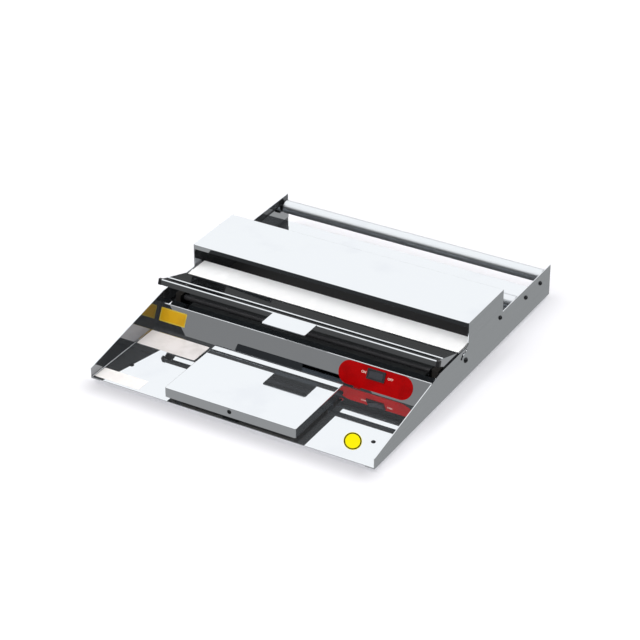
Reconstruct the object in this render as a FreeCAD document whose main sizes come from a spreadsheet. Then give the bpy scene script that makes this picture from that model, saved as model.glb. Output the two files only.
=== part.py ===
# Tabletop film wrapping machine.
# A folded steel body with a hot sealing plate in its front tray, a leaning control panel with a rocker,
# a heated cutter rod, a film holder flap on pivot pins, a cover shelf and two rollers for the film roll.
# Millimetres; +X right, +Y to the back, +Z up; the origin is under the middle, where the feet stand.
import FreeCAD, Part
import math
import os
import Sketcher
from types import SimpleNamespace

# Driving dimensions. Setbacks run from the front edge and heights from the underside of the body,
# where the note says nothing else.
SIZES = [
    ("body_width", 485.0, "outside of the side panels"),
    ("body_depth", 574.0, "front edge to back edge"),
    ("foot_height", 6.5, "underside of the body above the table"),
    ("panel_gauge", 1.2, "side panel sheet"),
    ("sheet_gauge", 1.0, "floor, control panel, trough, deck and cover sheet"),
    ("bend_radius", 1.4, "outside radius of a folded edge"),
    ("fit_gap", 0.05, "gap round a fixed pin, screw or insert in its hole"),
    ("running_gap", 0.06, "radial gap of a turning fit"),
    ("cutout_gap", 0.5, "gap round a piece in a loose cut-out"),
    ("nose_height", 18.0, "side panel at the front edge"),
    ("slope_run", 197.0, "length of the sloped nose"),
    ("wall_height", 53.5, "side panel behind the slope"),
    ("hump_setback", 287.0, "front of the hump that carries the cover"),
    ("hump_length", 116.0, "hump front to hump back"),
    ("hump_height", 92.5, "top of the hump"),
    ("hem_width", 14.0, "side panel's hem under the floor"),
    ("cover_lip", 8.0, "cover's front and back lips"),
    ("cover_flange", 12.0, "cover's side flanges"),
    ("plate_width", 224.0, "hot plate across"),
    ("plate_depth", 141.0, "hot plate front to back"),
    ("plate_height", 23.5, "top of the hot plate"),
    ("plate_skirt", 16.0, "hot plate's skirt"),
    ("plate_gauge", 1.5, "hot plate sheet"),
    ("plate_setback", 2.5, "front of the hot plate"),
    ("plate_corner", 3.0, "radius of the hot plate's upright corners"),
    ("standoff_radius", 4.0, "insulating post under the hot plate"),
    ("standoff_inset", 9.0, "post centre from the plate's edges"),
    ("heater_inset", 18.0, "heater edge from the plate's edges"),
    ("heater_gauge", 3.0, "mica heater"),
    ("insulation_gauge", 5.0, "insulation pad"),
    ("clamp_gauge", 1.0, "clamp plate under the insulation"),
    ("stud_radius", 2.0, "clamp stud"),
    ("stud_spacing", 120.0, "clamp studs across"),
    ("stud_tail", 0.8, "clamp stud past its nut"),
    ("nut_radius", 3.9, "corner radius of a nut"),
    ("nut_height", 3.2, "nut"),
    ("thermostat_radius", 8.0, "thermostat can"),
    ("thermostat_height", 11.5, "thermostat can under the plate"),
    ("thermostat_offset", 60.0, "thermostat left of the middle"),
    ("thermostat_setback", 100.0, "thermostat from the front edge"),
    ("angle_width", 26.0, "angle bracket behind the skirt, across"),
    ("angle_gauge", 2.0, "angle bracket sheet"),
    ("angle_foot", 14.0, "angle bracket's foot"),
    ("angle_rise", 5.0, "angle bracket above its screw"),
    ("skirt_screw_height", 16.5, "screw in the skirt"),
    ("console_setback", 170.3, "lower edge of the control panel"),
    ("console_lean", 26.0, "control panel leans back, degrees"),
    ("console_height", 38.4, "upper edge of the control panel"),
    ("console_ledge", 14.0, "ledge behind the upper edge"),
    ("console_foot", 15.0, "foot under the control panel"),
    ("trough_height", 25.5, "underside of the cutter trough"),
    ("deck_setback", 258.0, "front edge of the deck"),
    ("deck_length", 53.0, "deck front to back"),
    ("deck_foot", 15.0, "foot of the deck's back wall"),
    ("cutter_setback", 222.0, "cutter rod axis"),
    ("cutter_height", 36.5, "cutter rod axis"),
    ("cutter_radius", 4.5, "cutter rod"),
    ("cutter_inset", 22.0, "cutter bracket from the side panel"),
    ("cutter_bracket_gauge", 2.0, "cutter bracket sheet"),
    ("cutter_bracket_depth", 22.0, "cutter bracket front to back"),
    ("cutter_bracket_rise", 6.5, "cutter bracket above the rod axis"),
    ("cutter_bracket_foot", 10.0, "cutter bracket's foot"),
    ("insulator_length", 11.0, "ceramic block on the rod's end"),
    ("insulator_side", 14.0, "ceramic block's section"),
    ("insulator_end", 4.0, "ceramic past the rod's end"),
    ("pivot_setback", 280.0, "flap pivot axis"),
    ("pivot_height", 32.0, "flap pivot axis"),
    ("pivot_radius", 3.0, "flap pivot pin"),
    ("pivot_head_radius", 4.6, "head of the pivot pin"),
    ("pivot_tail", 2.0, "pivot pin past the flap's cheek"),
    ("flap_tilt", 18.0, "flap's front stands up at rest, degrees"),
    ("flap_rise", 15.8, "top of the flap above its pivot"),
    ("flap_reach", 99.8, "front of the flap from its pivot"),
    ("flap_length", 72.6, "flap plate front to back"),
    ("flap_gauge", 1.2, "flap sheet"),
    ("flap_side_gap", 1.0, "gap each side of the flap's cheeks"),
    ("flap_lip", 9.0, "flap's front lip"),
    ("flap_bead", 1.6, "radius of the bead and of the front edge"),
    ("flap_bead_inset", 19.6, "bead from the front edge"),
    ("flap_bead_proud", 1.2, "bead above the flap"),
    ("film_slot_inset", 9.5, "film slot from the flap's front edge"),
    ("film_slot_width", 8.5, "film slot front to back"),
    ("film_slot_end", 10.0, "film slot from the flap's ends"),
    ("cheek_radius", 11.0, "flap cheek round the pivot"),
    ("tab_width", 75.0, "handle tab across"),
    ("tab_depth", 35.0, "handle tab front to back"),
    ("tab_corner", 3.0, "radius of the tab's corners"),
    ("flap_swing", 58.0, "flap opens by, degrees"),
    ("stop_reach", 17.0, "stop pin from the pivot"),
    ("stop_angle", 146.0, "stop pin at rest, degrees up from the back"),
    ("stop_pin_radius", 2.0, "stop pin"),
    ("stop_slot_gap", 0.5, "stop pin in its slot"),
    ("stop_pin_proud", 0.5, "stop pin outside the panel"),
    ("roller_radius", 11.0, "film roller"),
    ("roller_wall", 1.2, "film roller tube"),
    ("roller_height", 37.0, "film roller axis"),
    ("roller_inset", 14.0, "rear roller axis from the back edge"),
    ("roller_spacing", 98.0, "roller axes apart"),
    ("roller_end_gap", 5.0, "roller end from the side panel"),
    ("bush_length", 12.0, "roller end bush"),
    ("shaft_radius", 4.0, "roller shaft"),
    ("shaft_end_gap", 0.3, "shaft end from the side panel"),
    ("bracket_gauge", 2.0, "roller bracket sheet"),
    ("bracket_margin", 12.0, "roller bracket past the shafts"),
    ("bracket_bottom", 11.5, "lower edge of the roller bracket"),
    ("bracket_top", 42.5, "upper edge of the roller bracket"),
    ("bracket_screw_spacing", 52.0, "roller bracket's screws apart"),
    ("bracket_screw_height", 37.5, "roller bracket's screws"),
    ("guide_setback", 67.5, "film guide bar axis ahead of the front roller"),
    ("guide_height", 47.2, "film guide bar axis"),
    ("guide_radius", 5.0, "film guide bar"),
    ("screw_radius", 2.0, "screw shank"),
    ("screw_length", 8.0, "screw shank behind its head"),
    ("screw_head_radius", 3.6, "screw head"),
    ("screw_head_height", 2.0, "screw head"),
    ("side_head_height", 3.0, "head of a screw or pivot pin outside the panel"),
    ("socket_radius", 1.9, "corner radius of the hexagon in a head"),
    ("socket_depth", 1.1, "hexagon in a head"),
    ("foot_side_inset", 34.0, "foot centre from the side"),
    ("foot_end_inset", 58.0, "foot centre from the front or back edge"),
    ("foot_radius", 10.0, "rubber foot"),
    ("foot_taper", 1.2, "rubber foot narrows at the table"),
    ("foot_well_radius", 5.2, "well for the nut in the foot"),
    ("foot_well_depth", 5.0, "well for the nut in the foot"),
    ("switch_offset", 98.0, "switch in from the right side"),
    ("switch_rise", 27.5, "switch up the slope of the control panel"),
    ("switch_length", 30.0, "bezel across"),
    ("switch_width", 16.0, "bezel up the slope"),
    ("bezel_height", 2.0, "bezel above the label"),
    ("switch_rim", 1.5, "bezel past the switch body"),
    ("switch_depth", 13.0, "switch body behind the control panel"),
    ("switch_wall", 1.0, "switch body wall"),
    ("well_depth", 8.0, "rocker well behind the control panel"),
    ("rocker_gap", 0.5, "rocker from the wall at each end"),
    ("rocker_side_gap", 0.3, "rocker from the wall at each side"),
    ("rocker_proud", 0.3, "rocker's pressed half above the bezel"),
    ("rocker_thickness", 3.6, "rocker at its ends"),
    ("rocker_belly", 6.5, "rocker at its middle"),
    ("rocker_tilt", 16.0, "rocker turns from off to on, degrees"),
    ("rocker_pivot_depth", 1.5, "rocker axis behind the control panel"),
    ("trunnion_radius", 1.2, "rocker's trunnion"),
    ("trunnion_end_gap", 0.2, "trunnion from the wall's outside"),
    ("terminal_length", 6.0, "switch terminal"),
    ("terminal_width", 4.8, "switch terminal"),
    ("terminal_gauge", 0.8, "switch terminal"),
    ("terminal_spread", 14.0, "switch terminals apart"),
    ("label_gauge", 0.3, "printed label"),
    ("label_length", 125.0, "label across"),
    ("label_width", 36.0, "label up the slope"),
    ("label_rise", 20.9, "label centre up the slope"),
    ("inlet_setback", 241.0, "mains inlet in the left panel"),
    ("inlet_height", 14.7, "mains inlet in the left panel"),
    ("inlet_length", 27.4, "inlet body along the panel"),
    ("inlet_width", 18.0, "inlet body upright"),
    ("inlet_depth", 22.0, "inlet body behind the panel"),
    ("inlet_rim", 1.2, "inlet flange past its body"),
    ("inlet_flange", 1.6, "inlet flange behind the panel"),
    ("inlet_wall", 2.6, "wall round the inlet's socket"),
    ("inlet_well", 15.0, "inlet's socket, deep"),
    ("blade_length", 9.0, "contact blade in the socket"),
    ("blade_width", 4.0, "contact blade"),
    ("blade_gauge", 2.0, "contact blade"),
    ("blade_spread", 7.0, "contact blades apart"),
    ("block_offset", 62.5, "terminal block in from the left side"),
    ("block_setback", 280.0, "terminal block"),
    ("block_length", 40.0, "terminal block across"),
    ("block_depth", 20.0, "terminal block front to back"),
    ("block_height", 14.0, "terminal block"),
    ("block_well_radius", 2.6, "clamp screw well in the terminal block"),
    ("block_well_depth", 6.0, "clamp screw well in the terminal block"),
    ("block_well_pitch", 12.0, "clamp screw wells apart"),
    ("lead_radius", 1.5, "insulated lead"),
    ("lead_hole_gap", 2.5, "gap round a lead in its hole"),
]

doc = FreeCAD.newDocument("film_wrapper")
sheet = doc.addObject("Spreadsheet::Sheet", "dim")
for row, (name, value, note) in enumerate(SIZES, start=1):
    sheet.set(f"A{row}", note)
    sheet.set(f"B{row}", str(value))
    sheet.setAlias(f"B{row}", name)
doc.recompute()


class Size:
    """A length or angle: its value now, and the formula by which the document follows the sheet."""

    def __init__(self, value, formula):
        self.value = float(value)
        self.formula = formula

    def __add__(self, other):
        other = as_size(other)
        return Size(self.value + other.value, f"({self.formula} + {other.formula})")

    def __sub__(self, other):
        other = as_size(other)
        return Size(self.value - other.value, f"({self.formula} - {other.formula})")

    def __mul__(self, other):
        other = as_size(other)
        return Size(self.value * other.value, f"({self.formula} * {other.formula})")

    def __truediv__(self, other):
        other = as_size(other)
        return Size(self.value / other.value, f"({self.formula} / {other.formula})")

    def __radd__(self, other):
        return as_size(other) + self

    def __rsub__(self, other):
        return as_size(other) - self

    def __rmul__(self, other):
        return as_size(other) * self

    def __neg__(self):
        return as_size(0) - self


def as_size(number):
    """A plain number as a Size; a Size as it is."""
    if isinstance(number, Size):
        return number
    return Size(number, repr(float(number)))


def sine(angle):
    return Size(math.sin(math.radians(angle.value)), f"sin({angle.formula})")


def cosine(angle):
    return Size(math.cos(math.radians(angle.value)), f"cos({angle.formula})")


d = SimpleNamespace(**{name: Size(value, f"dim.{name}") for name, value, note in SIZES})
X_AXIS = FreeCAD.Vector(1, 0, 0)
Y_AXIS = FreeCAD.Vector(0, 1, 0)
TURN_TO = {"x": (Y_AXIS, 90), "y": (X_AXIS, -90), "z": (X_AXIS, 0)}
OVERCUT = 1.0
nodes = []


def bind(thing, path, size):
    """Let one property of a document object follow a size."""
    thing.setExpression(path, as_size(size).formula)


def place(thing, corner, axis=X_AXIS, angle=0):
    """Put an object at a corner, turned about an axis by an angle that may be a size."""
    thing.Placement = FreeCAD.Placement(FreeCAD.Vector(), FreeCAD.Rotation(axis, as_size(angle).value))
    if isinstance(angle, Size):
        bind(thing, "Placement.Rotation.Angle", angle)
    for letter, size in zip("xyz", corner):
        bind(thing, f"Placement.Base.{letter}", size)


def block_of(name, low, high):
    """A block with the sides between two corners, not yet placed."""
    block = doc.addObject("Part::Box", name)
    for side, a, b in zip(("Length", "Width", "Height"), low, high):
        bind(block, side, as_size(b) - a)
    return block


def box(name, low, high):
    """A block between its lowest and highest corner."""
    block = block_of(name, low, high)
    place(block, low)
    return block


def rod(name, axis, start, radius, length):
    """A round bar that runs from its start along X, Y or Z."""
    bar = doc.addObject("Part::Cylinder", name)
    bind(bar, "Radius", radius)
    bind(bar, "Height", length)
    place(bar, start, *TURN_TO[axis])
    return bar


def hexagon(name, axis, start, corner_radius, height):
    """A six-sided bar that runs from its start along X, Y or Z."""
    bar = doc.addObject("Part::Prism", name)
    bar.Polygon = 6
    bind(bar, "Circumradius", corner_radius)
    bind(bar, "Height", height)
    place(bar, start, *TURN_TO[axis])
    return bar


def join(name, pieces):
    """One object of several; pieces that meet become one solid, pieces apart stay apart."""
    whole = doc.addObject("Part::MultiFuse", name)
    whole.Shapes = pieces
    whole.Refine = True
    return whole


def cut(name, base_piece, tools):
    """An object with the tools taken out of it."""
    result = doc.addObject("Part::Cut", name)
    result.Base = base_piece
    result.Tool = tools[0] if len(tools) == 1 else join(f"{name}_tools", tools)
    result.Refine = True
    return result


def mirror(source):
    """The same object on the other side of the machine's middle plane."""
    twin = doc.addObject("Part::Mirroring", f"{source.Name}_twin")
    twin.Source = source
    twin.Normal = X_AXIS
    return twin


def pair(name, source):
    """An object and its twin on the other side, as one group."""
    return join(name, [source, mirror(source)])


def outline(body, role, corners):
    """A closed outline of straight edges on one of a body's own planes, with every corner bound."""
    sketch = body.newObject("Sketcher::SketchObject", f"{body.Name}_outline")
    plane = next(feature for feature in body.Origin.OriginFeatures if feature.Role == role)
    sketch.AttachmentSupport = [(plane, "")]
    sketch.MapMode = "FlatFace"
    corners = [(as_size(across), as_size(up)) for across, up in corners]
    spots = [FreeCAD.Vector(across.value, up.value, 0) for across, up in corners]
    count = len(corners)
    for i in range(count):
        sketch.addGeometry(Part.LineSegment(spots[i], spots[(i + 1) % count]), False)
    for i in range(count):
        sketch.addConstraint(Sketcher.Constraint("Coincident", i, 2, (i + 1) % count, 1))
    for i, corner in enumerate(corners):
        for kind, size in zip(("DistanceX", "DistanceY"), corner):
            index = sketch.addConstraint(Sketcher.Constraint(kind, -1, 1, i, 1, size.value))
            bind(sketch, f"Constraints[{index}]", size)
    return sketch


def profile(name, role, corners, length, at, angle=0):
    """A body of one outline, padded by a length; at is where the body's origin lies."""
    body = doc.addObject("PartDesign::Body", name)
    sketch = outline(body, role, corners)
    pad = body.newObject("PartDesign::Pad", f"{name}_pad")
    pad.Profile = sketch
    bind(pad, "Length", length)
    place(body, at, X_AXIS, angle)
    return body


def edges_along(shape, direction, through):
    """Names of the straight edges along one axis that pass through any of the given spots."""
    found = []
    across = [letter for letter in "xyz" if letter != direction]
    for number, edge in enumerate(shape.Edges, start=1):
        if edge.Curve.TypeId != "Part::GeomLine" or abs(getattr(edge.Curve.Direction, direction)) < 0.999:
            continue
        middle = edge.CenterOfMass
        for spot in through:
            misses = [getattr(middle, letter) - as_size(size).value for letter, size in zip(across, spot)]
            if max(abs(miss) for miss in misses) < 0.01:
                found.append(f"Edge{number}")
    return found


def round_edges(body, direction, through, radius):
    """Round a body's straight edges along one axis at the given spots, and what runs on from them."""
    doc.recompute()
    tip = body.Tip
    fillet = body.newObject("PartDesign::Fillet", f"{body.Name}_round_{direction}")
    fillet.Base = (tip, edges_along(tip.Shape, direction, through))
    bind(fillet, "Radius", radius)
    return body


# Spots that several pieces share.
front = -d.body_depth / 2
back = d.body_depth / 2
base = d.foot_height
outer = d.body_width / 2
inner = outer - d.panel_gauge
floor_under = base + d.panel_gauge
floor = floor_under + d.sheet_gauge
wall_top = base + d.wall_height
hump_front = front + d.hump_setback
hump_back = hump_front + d.hump_length
hump_top = base + d.hump_height
plate_front = front + d.plate_setback
plate_back = plate_front + d.plate_depth
plate_half = d.plate_width / 2
plate_top = base + d.plate_height
plate_under = plate_top - d.plate_gauge
skirt_screw_z = base + d.skirt_screw_height
thermostat_y = front + d.thermostat_setback
lean = d.console_lean
switch_x = outer - d.switch_offset
console_y = front + d.console_setback
console_top = base + d.console_height
console_edge = console_y + (console_top - floor) * sine(lean) / cosine(lean)
ledge_end = console_edge + d.console_ledge
trough_under = base + d.trough_height
trough_floor = trough_under + d.sheet_gauge
deck_front = front + d.deck_setback
deck_back = deck_front + d.deck_length
cutter_y = front + d.cutter_setback
cutter_z = base + d.cutter_height
cutter_bracket_outer = inner - d.cutter_inset
insulator_middle = cutter_bracket_outer + d.insulator_length / 2
pivot_y = front + d.pivot_setback
pivot_z = base + d.pivot_height
cheek_outer = inner - d.flap_side_gap
cheek_inner = cheek_outer - d.flap_gauge
deck_half = cheek_inner - d.flap_side_gap
roller_z = base + d.roller_height
rear_roller_y = back - d.roller_inset
front_roller_y = rear_roller_y - d.roller_spacing
bracket_middle = rear_roller_y - d.roller_spacing / 2
bracket_screw_z = base + d.bracket_screw_height
bracket_screw_spots = [bracket_middle + side * d.bracket_screw_spacing / 2 for side in (-1, 1)]
guide_y = front_roller_y - d.guide_setback
guide_z = base + d.guide_height
inlet_y = front + d.inlet_setback
inlet_z = base + d.inlet_height
block_x = -outer + d.block_offset
block_y = front + d.block_setback
foot_x = outer - d.foot_side_inset
foot_spots = [(side * foot_x, end) for side in (-1, 1)
              for end in (front + d.foot_end_inset, back - d.foot_end_inset)]
screw_hole = d.screw_radius + d.fit_gap
lead_hole = d.lead_radius + d.lead_hole_gap
plate_lead_exit_y = cutter_y - d.cutter_bracket_depth / 2


# Base plate: one flat sheet on the panels' hems, pierced for the foot screws and the plate's lead.
def base_plate():
    tools = []
    for number, (x, y) in enumerate(foot_spots):
        tools.append(rod(f"foot_hole_{number}", "z", (x, y, floor_under - OVERCUT), screw_hole,
                         d.sheet_gauge + 2 * OVERCUT))
    for name, y in (("lead_down", thermostat_y), ("lead_up", plate_lead_exit_y)):
        tools.append(rod(f"{name}_hole", "z", (-d.thermostat_offset, y, floor_under - OVERCUT), lead_hole,
                         d.sheet_gauge + 2 * OVERCUT))
    return cut("base_plate", box("base_sheet", (-inner, front, floor_under), (inner, back, floor)), tools)


nodes.append(base_plate())


# Side panels: flat sheet with a hem folded in under the floor, pierced for screws, pivot pin and stop pin.
def stop_slot(name, left):
    """A curved slot round the flap's pivot, as long as the flap's swing."""
    length = d.panel_gauge + 2 * OVERCUT
    sector = doc.addObject("Part::Cylinder", f"{name}_sector")
    bind(sector, "Radius", d.stop_reach + d.stop_pin_radius + d.stop_slot_gap)
    bind(sector, "Height", length)
    bind(sector, "Angle", d.flap_swing)
    sector.Placement.Rotation = FreeCAD.Rotation(FreeCAD.Vector(1, 1, 1), 120)
    core = rod(f"{name}_core", "x", (-OVERCUT, 0, 0), d.stop_reach - d.stop_pin_radius - d.stop_slot_gap,
               length + 2 * OVERCUT)
    end_radius = d.stop_pin_radius + d.stop_slot_gap
    low_end = rod(f"{name}_low_end", "x", (0, d.stop_reach, 0), end_radius, length)
    high_end = rod(f"{name}_high_end", "x",
                   (0, d.stop_reach * cosine(d.flap_swing), d.stop_reach * sine(d.flap_swing)),
                   end_radius, length)
    slot = join(f"{name}_slot", [cut(f"{name}_arc", sector, [core]), low_end, high_end])
    place(slot, (left - OVERCUT, pivot_y, pivot_z), X_AXIS, d.stop_angle - d.flap_swing)
    return slot


def side_panel(name, left, hem_left, extra_tools):
    """One side panel; left is the X of its sheet's left face."""
    corners = [
        (front, base), (front, base + d.nose_height), (front + d.slope_run, wall_top),
        (hump_front, wall_top), (hump_front, hump_top), (hump_back, hump_top),
        (hump_back, wall_top), (back, wall_top), (back, base),
    ]
    flat = profile(f"{name}_sheet", "YZ_Plane", corners, d.panel_gauge, (left, 0, 0))
    hem = box(f"{name}_hem", (hem_left, front, base), (hem_left + d.hem_width, back, floor_under))
    holes = [("guide_hole", guide_y, guide_z, screw_hole),
             ("pivot_hole", pivot_y, pivot_z, d.pivot_radius + d.fit_gap)]
    for number, y in enumerate(bracket_screw_spots):
        holes.append((f"bracket_hole_{number}", y, bracket_screw_z, screw_hole))
    tools = [stop_slot(name, left)] + extra_tools
    for hole, y, z, radius in holes:
        tools.append(rod(f"{name}_{hole}", "x", (left - OVERCUT, y, z), radius,
                         d.panel_gauge + 2 * OVERCUT))
    return cut(name, join(f"{name}_folded", [flat, hem]), tools)


inlet_hole = box("inlet_hole",
                 (-outer - OVERCUT, inlet_y - d.inlet_length / 2 - d.fit_gap,
                  inlet_z - d.inlet_width / 2 - d.fit_gap),
                 (-inner + OVERCUT, inlet_y + d.inlet_length / 2 + d.fit_gap,
                  inlet_z + d.inlet_width / 2 + d.fit_gap))
nodes.append(side_panel("left_side_panel", -outer, -inner, [inlet_hole]))
nodes.append(side_panel("right_side_panel", inner, inner - d.hem_width, []))


# Control panel: a leaning sheet with a foot on the floor and a ledge at its top, cut out for the switch.
def on_console(across, up, out):
    """A spot given across the machine, up the control panel's slope and out from its face."""
    up = as_size(up)
    out = as_size(out)
    return (across,
            console_y + up * sine(lean) - out * cosine(lean),
            floor + up * cosine(lean) + out * sine(lean))


def console_box(name, low, high):
    """A block that lies along the control panel's face; its corners are given as in on_console."""
    block = block_of(name, low, high)
    place(block, on_console(*low), X_AXIS, 90 - lean)
    return block


def console_rod(name, start, radius, length):
    """A round bar that stands out square from the control panel's face."""
    bar = doc.addObject("Part::Cylinder", name)
    bind(bar, "Radius", radius)
    bind(bar, "Height", length)
    place(bar, on_console(*start), X_AXIS, 90 - lean)
    return bar


def slope_rod(name, start, radius, length):
    """A round bar that runs up the control panel's slope."""
    bar = doc.addObject("Part::Cylinder", name)
    bind(bar, "Radius", radius)
    bind(bar, "Height", length)
    place(bar, on_console(*start), X_AXIS, -lean)
    return bar


switch_half = d.switch_length / 2 - d.switch_rim
switch_half_width = d.switch_width / 2 - d.switch_rim


def switch_hole(name, half_length, half_width):
    """A block through the control panel's sheet and label round the switch."""
    return console_box(name,
                       (switch_x - half_length, d.switch_rise - half_width,
                        -d.sheet_gauge - OVERCUT),
                       (switch_x + half_length, d.switch_rise + half_width,
                        d.label_gauge + OVERCUT))


def control_panel():
    t = d.sheet_gauge
    inside = console_y + t / cosine(lean)
    slope = sine(lean) / cosine(lean)
    corners = [
        (console_y, floor), (console_edge, console_top), (ledge_end, console_top),
        (ledge_end, console_top - t), (inside + (console_top - t - floor) * slope, console_top - t),
        (inside + t * slope, floor + t), (console_y + d.console_foot, floor + t),
        (console_y + d.console_foot, floor),
    ]
    folded = profile("console_sheet", "YZ_Plane", corners, 2 * inner, (-inner, 0, 0))
    round_edges(folded, "x", [(console_edge, console_top)], d.bend_radius)
    hole = switch_hole("switch_hole", switch_half + d.fit_gap, switch_half_width + d.fit_gap)
    return cut("control_panel", folded, [hole])


nodes.append(control_panel())


# Printed label: a thin stadium round the switch.
def switch_label():
    half = d.label_length / 2 - d.label_width / 2
    low = d.label_rise - d.label_width / 2
    pieces = [console_box("label_middle", (switch_x - half, low, 0),
                          (switch_x + half, low + d.label_width, d.label_gauge))]
    for side, word in ((-1, "left"), (1, "right")):
        pieces.append(console_rod(f"label_{word}", (switch_x + side * half, d.label_rise, 0),
                                  d.label_width / 2, d.label_gauge))
    gap = d.cutout_gap
    hole = switch_hole("label_hole", switch_half + gap, switch_half_width + gap)
    return cut("switch_label", join("label_whole", pieces), [hole])


nodes.append(switch_label())


# Switch housing: bezel on the label, body behind the sheet, a well for the rocker and two terminals.
bezel_top = d.label_gauge + d.bezel_height
well_half = switch_half - d.switch_wall
well_half_width = switch_half_width - d.switch_wall


def switch_housing():
    x = switch_x
    s = d.switch_rise
    pieces = [
        console_box("bezel", (x - d.switch_length / 2, s - d.switch_width / 2, d.label_gauge),
                    (x + d.switch_length / 2, s + d.switch_width / 2, bezel_top)),
        console_box("switch_body", (x - switch_half, s - switch_half_width, -d.switch_depth),
                    (x + switch_half, s + switch_half_width, bezel_top)),
    ]
    for side, word in ((-1, "left"), (1, "right")):
        middle = x + side * d.terminal_spread / 2
        pieces.append(console_box(f"{word}_terminal",
                                  (middle - d.terminal_gauge / 2, s - d.terminal_width / 2,
                                   -d.switch_depth - d.terminal_length),
                                  (middle + d.terminal_gauge / 2, s + d.terminal_width / 2,
                                   -d.switch_depth + d.switch_wall)))
    well = console_box("rocker_well", (x - well_half, s - well_half_width, -d.well_depth),
                       (x + well_half, s + well_half_width, bezel_top + OVERCUT))
    bearing = slope_rod("trunnion_bearing", (x, s - switch_half_width - OVERCUT, -d.rocker_pivot_depth),
                        d.trunnion_radius + d.running_gap, 2 * (switch_half_width + OVERCUT))
    return cut("switch_housing", join("switch_shell", pieces), [well, bearing])


nodes.append(switch_housing())


# Rocker: a shallow V across the slope on two trunnions. Its right half lies flat at rest, and its left half
# when on, so the left end is the right one mirrored and turned about the trunnions by the tilt.
def switch_rocker():
    reach = well_half - d.rocker_gap
    half_width = well_half_width - d.rocker_side_gap
    top = bezel_top + d.rocker_proud
    crown = top + d.rocker_pivot_depth
    turn = d.rocker_tilt

    def raised(height):
        """A spot at the left end, given by its height over the trunnions when on, as it lies at rest."""
        return (height * sine(turn) - reach * cosine(turn),
                height * cosine(turn) + reach * sine(turn) - d.rocker_pivot_depth)

    corners = [
        (reach, top), (crown * sine(turn / 2) / cosine(turn / 2), top), raised(crown),
        raised(crown - d.rocker_thickness), (0, top - d.rocker_belly), (reach, top - d.rocker_thickness),
    ]
    wedge = profile("rocker_wedge", "XY_Plane", corners, 2 * half_width,
                    on_console(switch_x, d.switch_rise + half_width, 0), 180 - lean)
    trunnion_half = switch_half_width - d.trunnion_end_gap
    trunnion = slope_rod("trunnion", (switch_x, d.switch_rise - trunnion_half, -d.rocker_pivot_depth),
                         d.trunnion_radius, 2 * trunnion_half)
    return join("switch_rocker", [wedge, trunnion])


nodes.append(switch_rocker())


# Cutter trough: a dark coated channel between the ledge and the deck.
def cutter_trough():
    t = d.sheet_gauge
    corners = [
        (ledge_end - t, trough_under), (ledge_end - t, console_top - t), (ledge_end, console_top - t),
        (ledge_end, trough_floor), (deck_front, trough_floor), (deck_front, wall_top - t),
        (deck_front + t, wall_top - t), (deck_front + t, trough_under),
    ]
    channel = profile("trough_sheet", "YZ_Plane", corners, 2 * deck_half, (-deck_half, 0, 0))
    hole = rod("cutter_lead_hole", "z", (-insulator_middle, cutter_y, trough_under - OVERCUT), lead_hole,
               t + 2 * OVERCUT)
    return cut("cutter_trough", channel, [hole])


nodes.append(cutter_trough())


# Cutter: a heated rod through two angle brackets, with a ceramic block on each end.
def cutter_brackets():
    left = cutter_bracket_outer - d.cutter_bracket_gauge
    low_y = cutter_y - d.cutter_bracket_depth / 2
    high_y = cutter_y + d.cutter_bracket_depth / 2
    wall = box("cutter_bracket_wall", (left, low_y, trough_floor),
               (cutter_bracket_outer, high_y, cutter_z + d.cutter_bracket_rise))
    foot = box("cutter_bracket_shoe", (left - d.cutter_bracket_foot, low_y, trough_floor),
               (cutter_bracket_outer, high_y, trough_floor + d.cutter_bracket_gauge))
    hole = rod("cutter_bracket_hole", "x", (left - OVERCUT, cutter_y, cutter_z),
               d.cutter_radius + d.fit_gap, d.cutter_bracket_gauge + 2 * OVERCUT)
    return pair("cutter_brackets", cut("cutter_bracket", join("cutter_angle", [wall, foot]), [hole]))


def cutter_rod():
    half = cutter_bracket_outer + d.insulator_length - d.insulator_end
    return rod("cutter_rod", "x", (-half, cutter_y, cutter_z), d.cutter_radius, 2 * half)


def cutter_insulators():
    half = d.insulator_side / 2
    block = box("ceramic_block", (cutter_bracket_outer, cutter_y - half, cutter_z - half),
                (cutter_bracket_outer + d.insulator_length, cutter_y + half, cutter_z + half))
    bore = rod("ceramic_bore", "x", (cutter_bracket_outer - OVERCUT, cutter_y, cutter_z),
               d.cutter_radius + d.fit_gap, d.insulator_length - d.insulator_end + OVERCUT)
    return pair("cutter_insulators", cut("ceramic", block, [bore]))


nodes.append(cutter_brackets())
nodes.append(cutter_rod())
nodes.append(cutter_insulators())


# Deck: a level plate behind the cutter with its back wall folded down to a foot on the floor.
def deck_plate():
    t = d.sheet_gauge
    corners = [
        (deck_front, wall_top), (deck_back, wall_top), (deck_back, floor), (deck_back - d.deck_foot, floor),
        (deck_back - d.deck_foot, floor + t), (deck_back - t, floor + t), (deck_back - t, wall_top - t),
        (deck_front, wall_top - t),
    ]
    folded = profile("deck_plate", "YZ_Plane", corners, 2 * deck_half, (-deck_half, 0, 0))
    return round_edges(folded, "x", [(deck_back, wall_top)], d.bend_radius)


nodes.append(deck_plate())


# Cover shelf: a shallow channel between the humps, with flanges against the side panels.
def cover_shelf():
    t = d.sheet_gauge
    lip = hump_top - d.cover_lip
    corners = [
        (hump_front, hump_top), (hump_back, hump_top), (hump_back, lip), (hump_back - t, lip),
        (hump_back - t, hump_top - t), (hump_front + t, hump_top - t), (hump_front + t, lip),
        (hump_front, lip),
    ]
    folded = profile("cover_sheet", "YZ_Plane", corners, 2 * inner, (-inner, 0, 0))
    round_edges(folded, "x", [(hump_front, hump_top), (hump_back, hump_top)], d.bend_radius)
    flange = box("cover_side_flange", (inner - t, hump_front + t, hump_top - d.cover_flange),
                 (inner, hump_back - t, hump_top - t))
    return join("cover_shelf", [folded, flange, mirror(flange)])


nodes.append(cover_shelf())


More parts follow.
